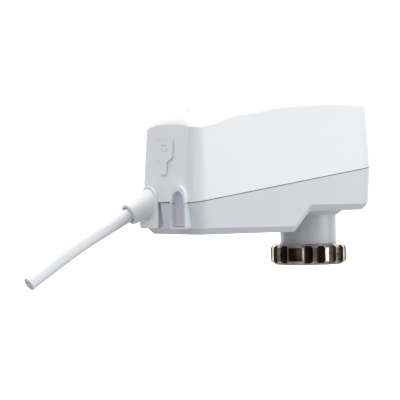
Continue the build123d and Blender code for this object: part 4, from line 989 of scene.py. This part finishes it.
@dataclass
class CadFinishes:
    """Finishes of the CAD nodes that show as they are."""

    groups: dict[str, tuple[str, ...]] = field(default_factory=lambda: {
        "COVER": ("upper_cover", "override_plug"),
        "BASE": ("lower_housing",),
        "SLEEVE": ("neck_sleeve",),
        "BLANK": ("blanking_plate",),
        "BOOT": ("cable_boot",),
        "ACETAL": ("drive_gear", "compound_gear_2", "compound_gear_3"),
        "BRASS": ("compound_gear_1", "motor_pinion", "gearbox_pillars", "board_standoffs", "spindle",
                  "thrust_cage"),
        "STEEL": ("slip_washer", "spindle_pusher", "arbor_2", "arbor_3", "override_shaft", "motor_shaft",
                  "thrust_balls", "thrust_race_lower", "thrust_race_upper", "cover_screws",
                  "terminal_screws"),
        "SPRING": ("retaining_ring",),
        "ZINC": ("motor_can", "motor_end_plate", "gearbox_base_plate", "gearbox_top_plate"),
        "COPPER": ("cable_cores",),
        "TERMINAL_GREEN": ("terminal_block",),
        "SWITCH_RED": ("dip_switch_body",),
        "SLIDER_WHITE": ("dip_slider_1", "dip_slider_2", "dip_slider_3", "dip_slider_4"),
        "EPOXY": ("control_chip",),
        "LEAD_BROWN": ("supply_leads",),
    })

    def dress(self) -> None:
        """Give each node its finish."""
        finishes = {
            "COVER": COVER, "BASE": BASE, "SLEEVE": SLEEVE, "BLANK": BLANK, "BOOT": BOOT,
            "ACETAL": ACETAL, "BRASS": BRASS, "STEEL": STEEL, "SPRING": SPRING, "ZINC": ZINC,
            "COPPER": COPPER, "TERMINAL_GREEN": TERMINAL_GREEN, "SWITCH_RED": SWITCH_RED,
            "SLIDER_WHITE": SLIDER_WHITE, "EPOXY": EPOXY, "LEAD_BROWN": LEAD_BROWN,
        }
        for name, nodes in self.groups.items():
            material = finishes[name].material()
            for node in nodes:
                paint(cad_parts[node], material)
            LOG.info("%s: %d nodes", name, len(nodes))
        rubber = Rubber("seal_rubber").material()
        for node in ("housing_gasket", "plug_seal"):
            paint(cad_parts[node], rubber)
        paint(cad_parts["circuit_board"], BoardLaminate().material())
        paint(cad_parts["status_lamp"], ClearLens().material())


# ---------------------------------------------------------------- stage


@dataclass
class Stage:
    """Camera, lights, floor and backdrop."""

    azimuth: float = math.radians(32.35)
    elevation: float = math.radians(0.57)
    roll: float = math.radians(0.99)
    distance: float = 933.7 * MM
    aim: Vector = field(default_factory=lambda: Vector((-61.11 * MM, 0.0, 31.86 * MM)))
    focal_share: float = 5.0345
    sensor: float = 36.0
    floor_z: float = -0.16
    world_strength: float = 0.58
    overhead_power: float = 6.9
    side_power: float = 7.3
    fill_power: float = 2.0
    paper_glow: float = 1.1

    def build(self) -> None:
        """Build everything around the object."""
        self.camera()
        self.world()
        self.lights()
        self.floor()

    def camera(self) -> None:
        """Aim the camera from the cable end's near side."""
        a, e = self.azimuth, self.elevation
        back = Vector((-math.sin(a) * math.cos(e), -math.cos(a) * math.cos(e), math.sin(e)))
        right = Vector((math.cos(a), -math.sin(a), 0.0))
        up = back.cross(right)
        turned_right = right * math.cos(self.roll) - up * math.sin(self.roll)
        turned_up = right * math.sin(self.roll) + up * math.cos(self.roll)
        data = bpy.data.cameras.new("camera")
        data.sensor_width = self.sensor
        data.lens = self.focal_share * self.sensor
        data.clip_start = 0.05
        made = bpy.data.objects.new("camera", data)
        axes = Matrix((turned_right, turned_up, back)).transposed().to_4x4()
        made.matrix_world = Matrix.Translation(self.aim + back * self.distance) @ axes
        bpy.context.scene.collection.objects.link(made)
        bpy.context.scene.camera = made

    def world(self) -> None:
        """Dim surroundings that brighten overhead."""
        scene = bpy.context.scene
        scene.view_settings.view_transform = "Standard"
        scene.view_settings.look = "None"
        world = bpy.data.worlds.new("surroundings")
        world.use_nodes = True
        tree = world.node_tree
        background = tree.nodes["Background"]
        coords = tree.nodes.new("ShaderNodeTexCoord")
        split = tree.nodes.new("ShaderNodeSeparateXYZ")
        ramp = tree.nodes.new("ShaderNodeValToRGB")
        ramp.color_ramp.elements[0].position = 0.1
        ramp.color_ramp.elements[0].color = (0.2, 0.2, 0.21, 1.0)
        ramp.color_ramp.elements[1].position = 0.9
        ramp.color_ramp.elements[1].color = (1.0, 1.0, 1.0, 1.0)
        tree.links.new(coords.outputs["Generated"], split.inputs[0])
        tree.links.new(split.outputs["Z"], ramp.inputs[0])
        tree.links.new(ramp.outputs[0], background.inputs["Color"])
        background.inputs["Strength"].default_value = self.world_strength
        scene.world = world

    def lights(self) -> None:
        """Large soft lights: one overhead, one low on the long side, one small beside the camera."""
        self.softbox("overhead", Vector((-0.1, 0.0, 0.9)), (1.1, 0.9), self.overhead_power)
        self.softbox("near_side", Vector((0.75, -0.95, 0.12)), (0.8, 0.7), self.side_power)
        self.softbox("front_fill", Vector((-0.85, -0.5, 0.15)), (0.4, 0.4), self.fill_power)

    def softbox(self, name: str, place: Vector, size: tuple[float, float], power: float) -> None:
        """Add one area light aimed at the object.

        Args:
            name: The light's name.
            place: Where it stands, from the aim point.
            size: Width and height.
            power: Power in watts.
        """
        data = bpy.data.lights.new(name, "AREA")
        data.shape = "RECTANGLE"
        data.size, data.size_y = size
        data.energy = power
        made = bpy.data.objects.new(name, data)
        made.location = self.aim + place
        made.rotation_euler = (-place).to_track_quat("-Z", "Y").to_euler()
        bpy.context.scene.collection.objects.link(made)

    def floor(self) -> None:
        """Plain pale floor that curves up into a backdrop behind the object."""
        bm = bmesh.new()
        reach, rise, bend = 3.0, 2.6, 0.5
        profile = [(-reach, 0.0), (1.2, 0.0)]
        for step in range(1, 13):
            turn = math.pi / 2 * step / 12
            profile.append((1.2 + bend * math.sin(turn), bend * (1 - math.cos(turn))))
        profile.append((1.2 + bend, rise))
        rows = [[bm.verts.new((x, y, z + self.floor_z)) for x in (-reach, reach)] for y, z in profile]
        for low, high in zip(rows, rows[1:]):
            bm.faces.new((low[0], low[1], high[1], high[0]))
        sweep = add_mesh("studio_floor", bm, 60.0)
        sweep.rotation_euler = (0.0, 0.0, -self.azimuth)
        shade = Shade("studio_paper")
        fibre = shade.noise(40.0, 3.0)
        far = shade.axis("Y").ramp(0.55, 0.95)
        near_paper = shade.blend(fibre.ramp(0.3, 0.7), (0.33, 0.33, 0.33), (0.35, 0.35, 0.35))
        paper = shade.blend(far, near_paper, (0.9, 0.9, 0.9))
        paint(sweep, shade.dress({
            "Base Color": paper, "Roughness": 0.9, "Specular IOR Level": 0.0,
            "Emission Color": shade.blend(far, (0.0, 0.0, 0.0), (1.0, 1.0, 1.0)),
            "Emission Strength": self.paper_glow,
        }))


def main() -> None:
    """Build and dress every piece in order."""
    logging.basicConfig(level=logging.INFO)
    Stage().build()
    Cable().build()
    CadFinishes().dress()
    UnionNut().build()
    steel = STEEL.material()
    for node, head, shank in (
        ("gearbox_screws", 1.8 * MM, 0.9 * MM), ("board_screws", 1.8 * MM, 0.9 * MM),
        ("neck_screws", 1.8 * MM, 0.9 * MM), ("motor_screws", 1.8 * MM, 0.9 * MM),
    ):
        PanScrews(node, head, shank, steel).build()
    BoardParts().build()


if __name__ == "__main__":
    main()
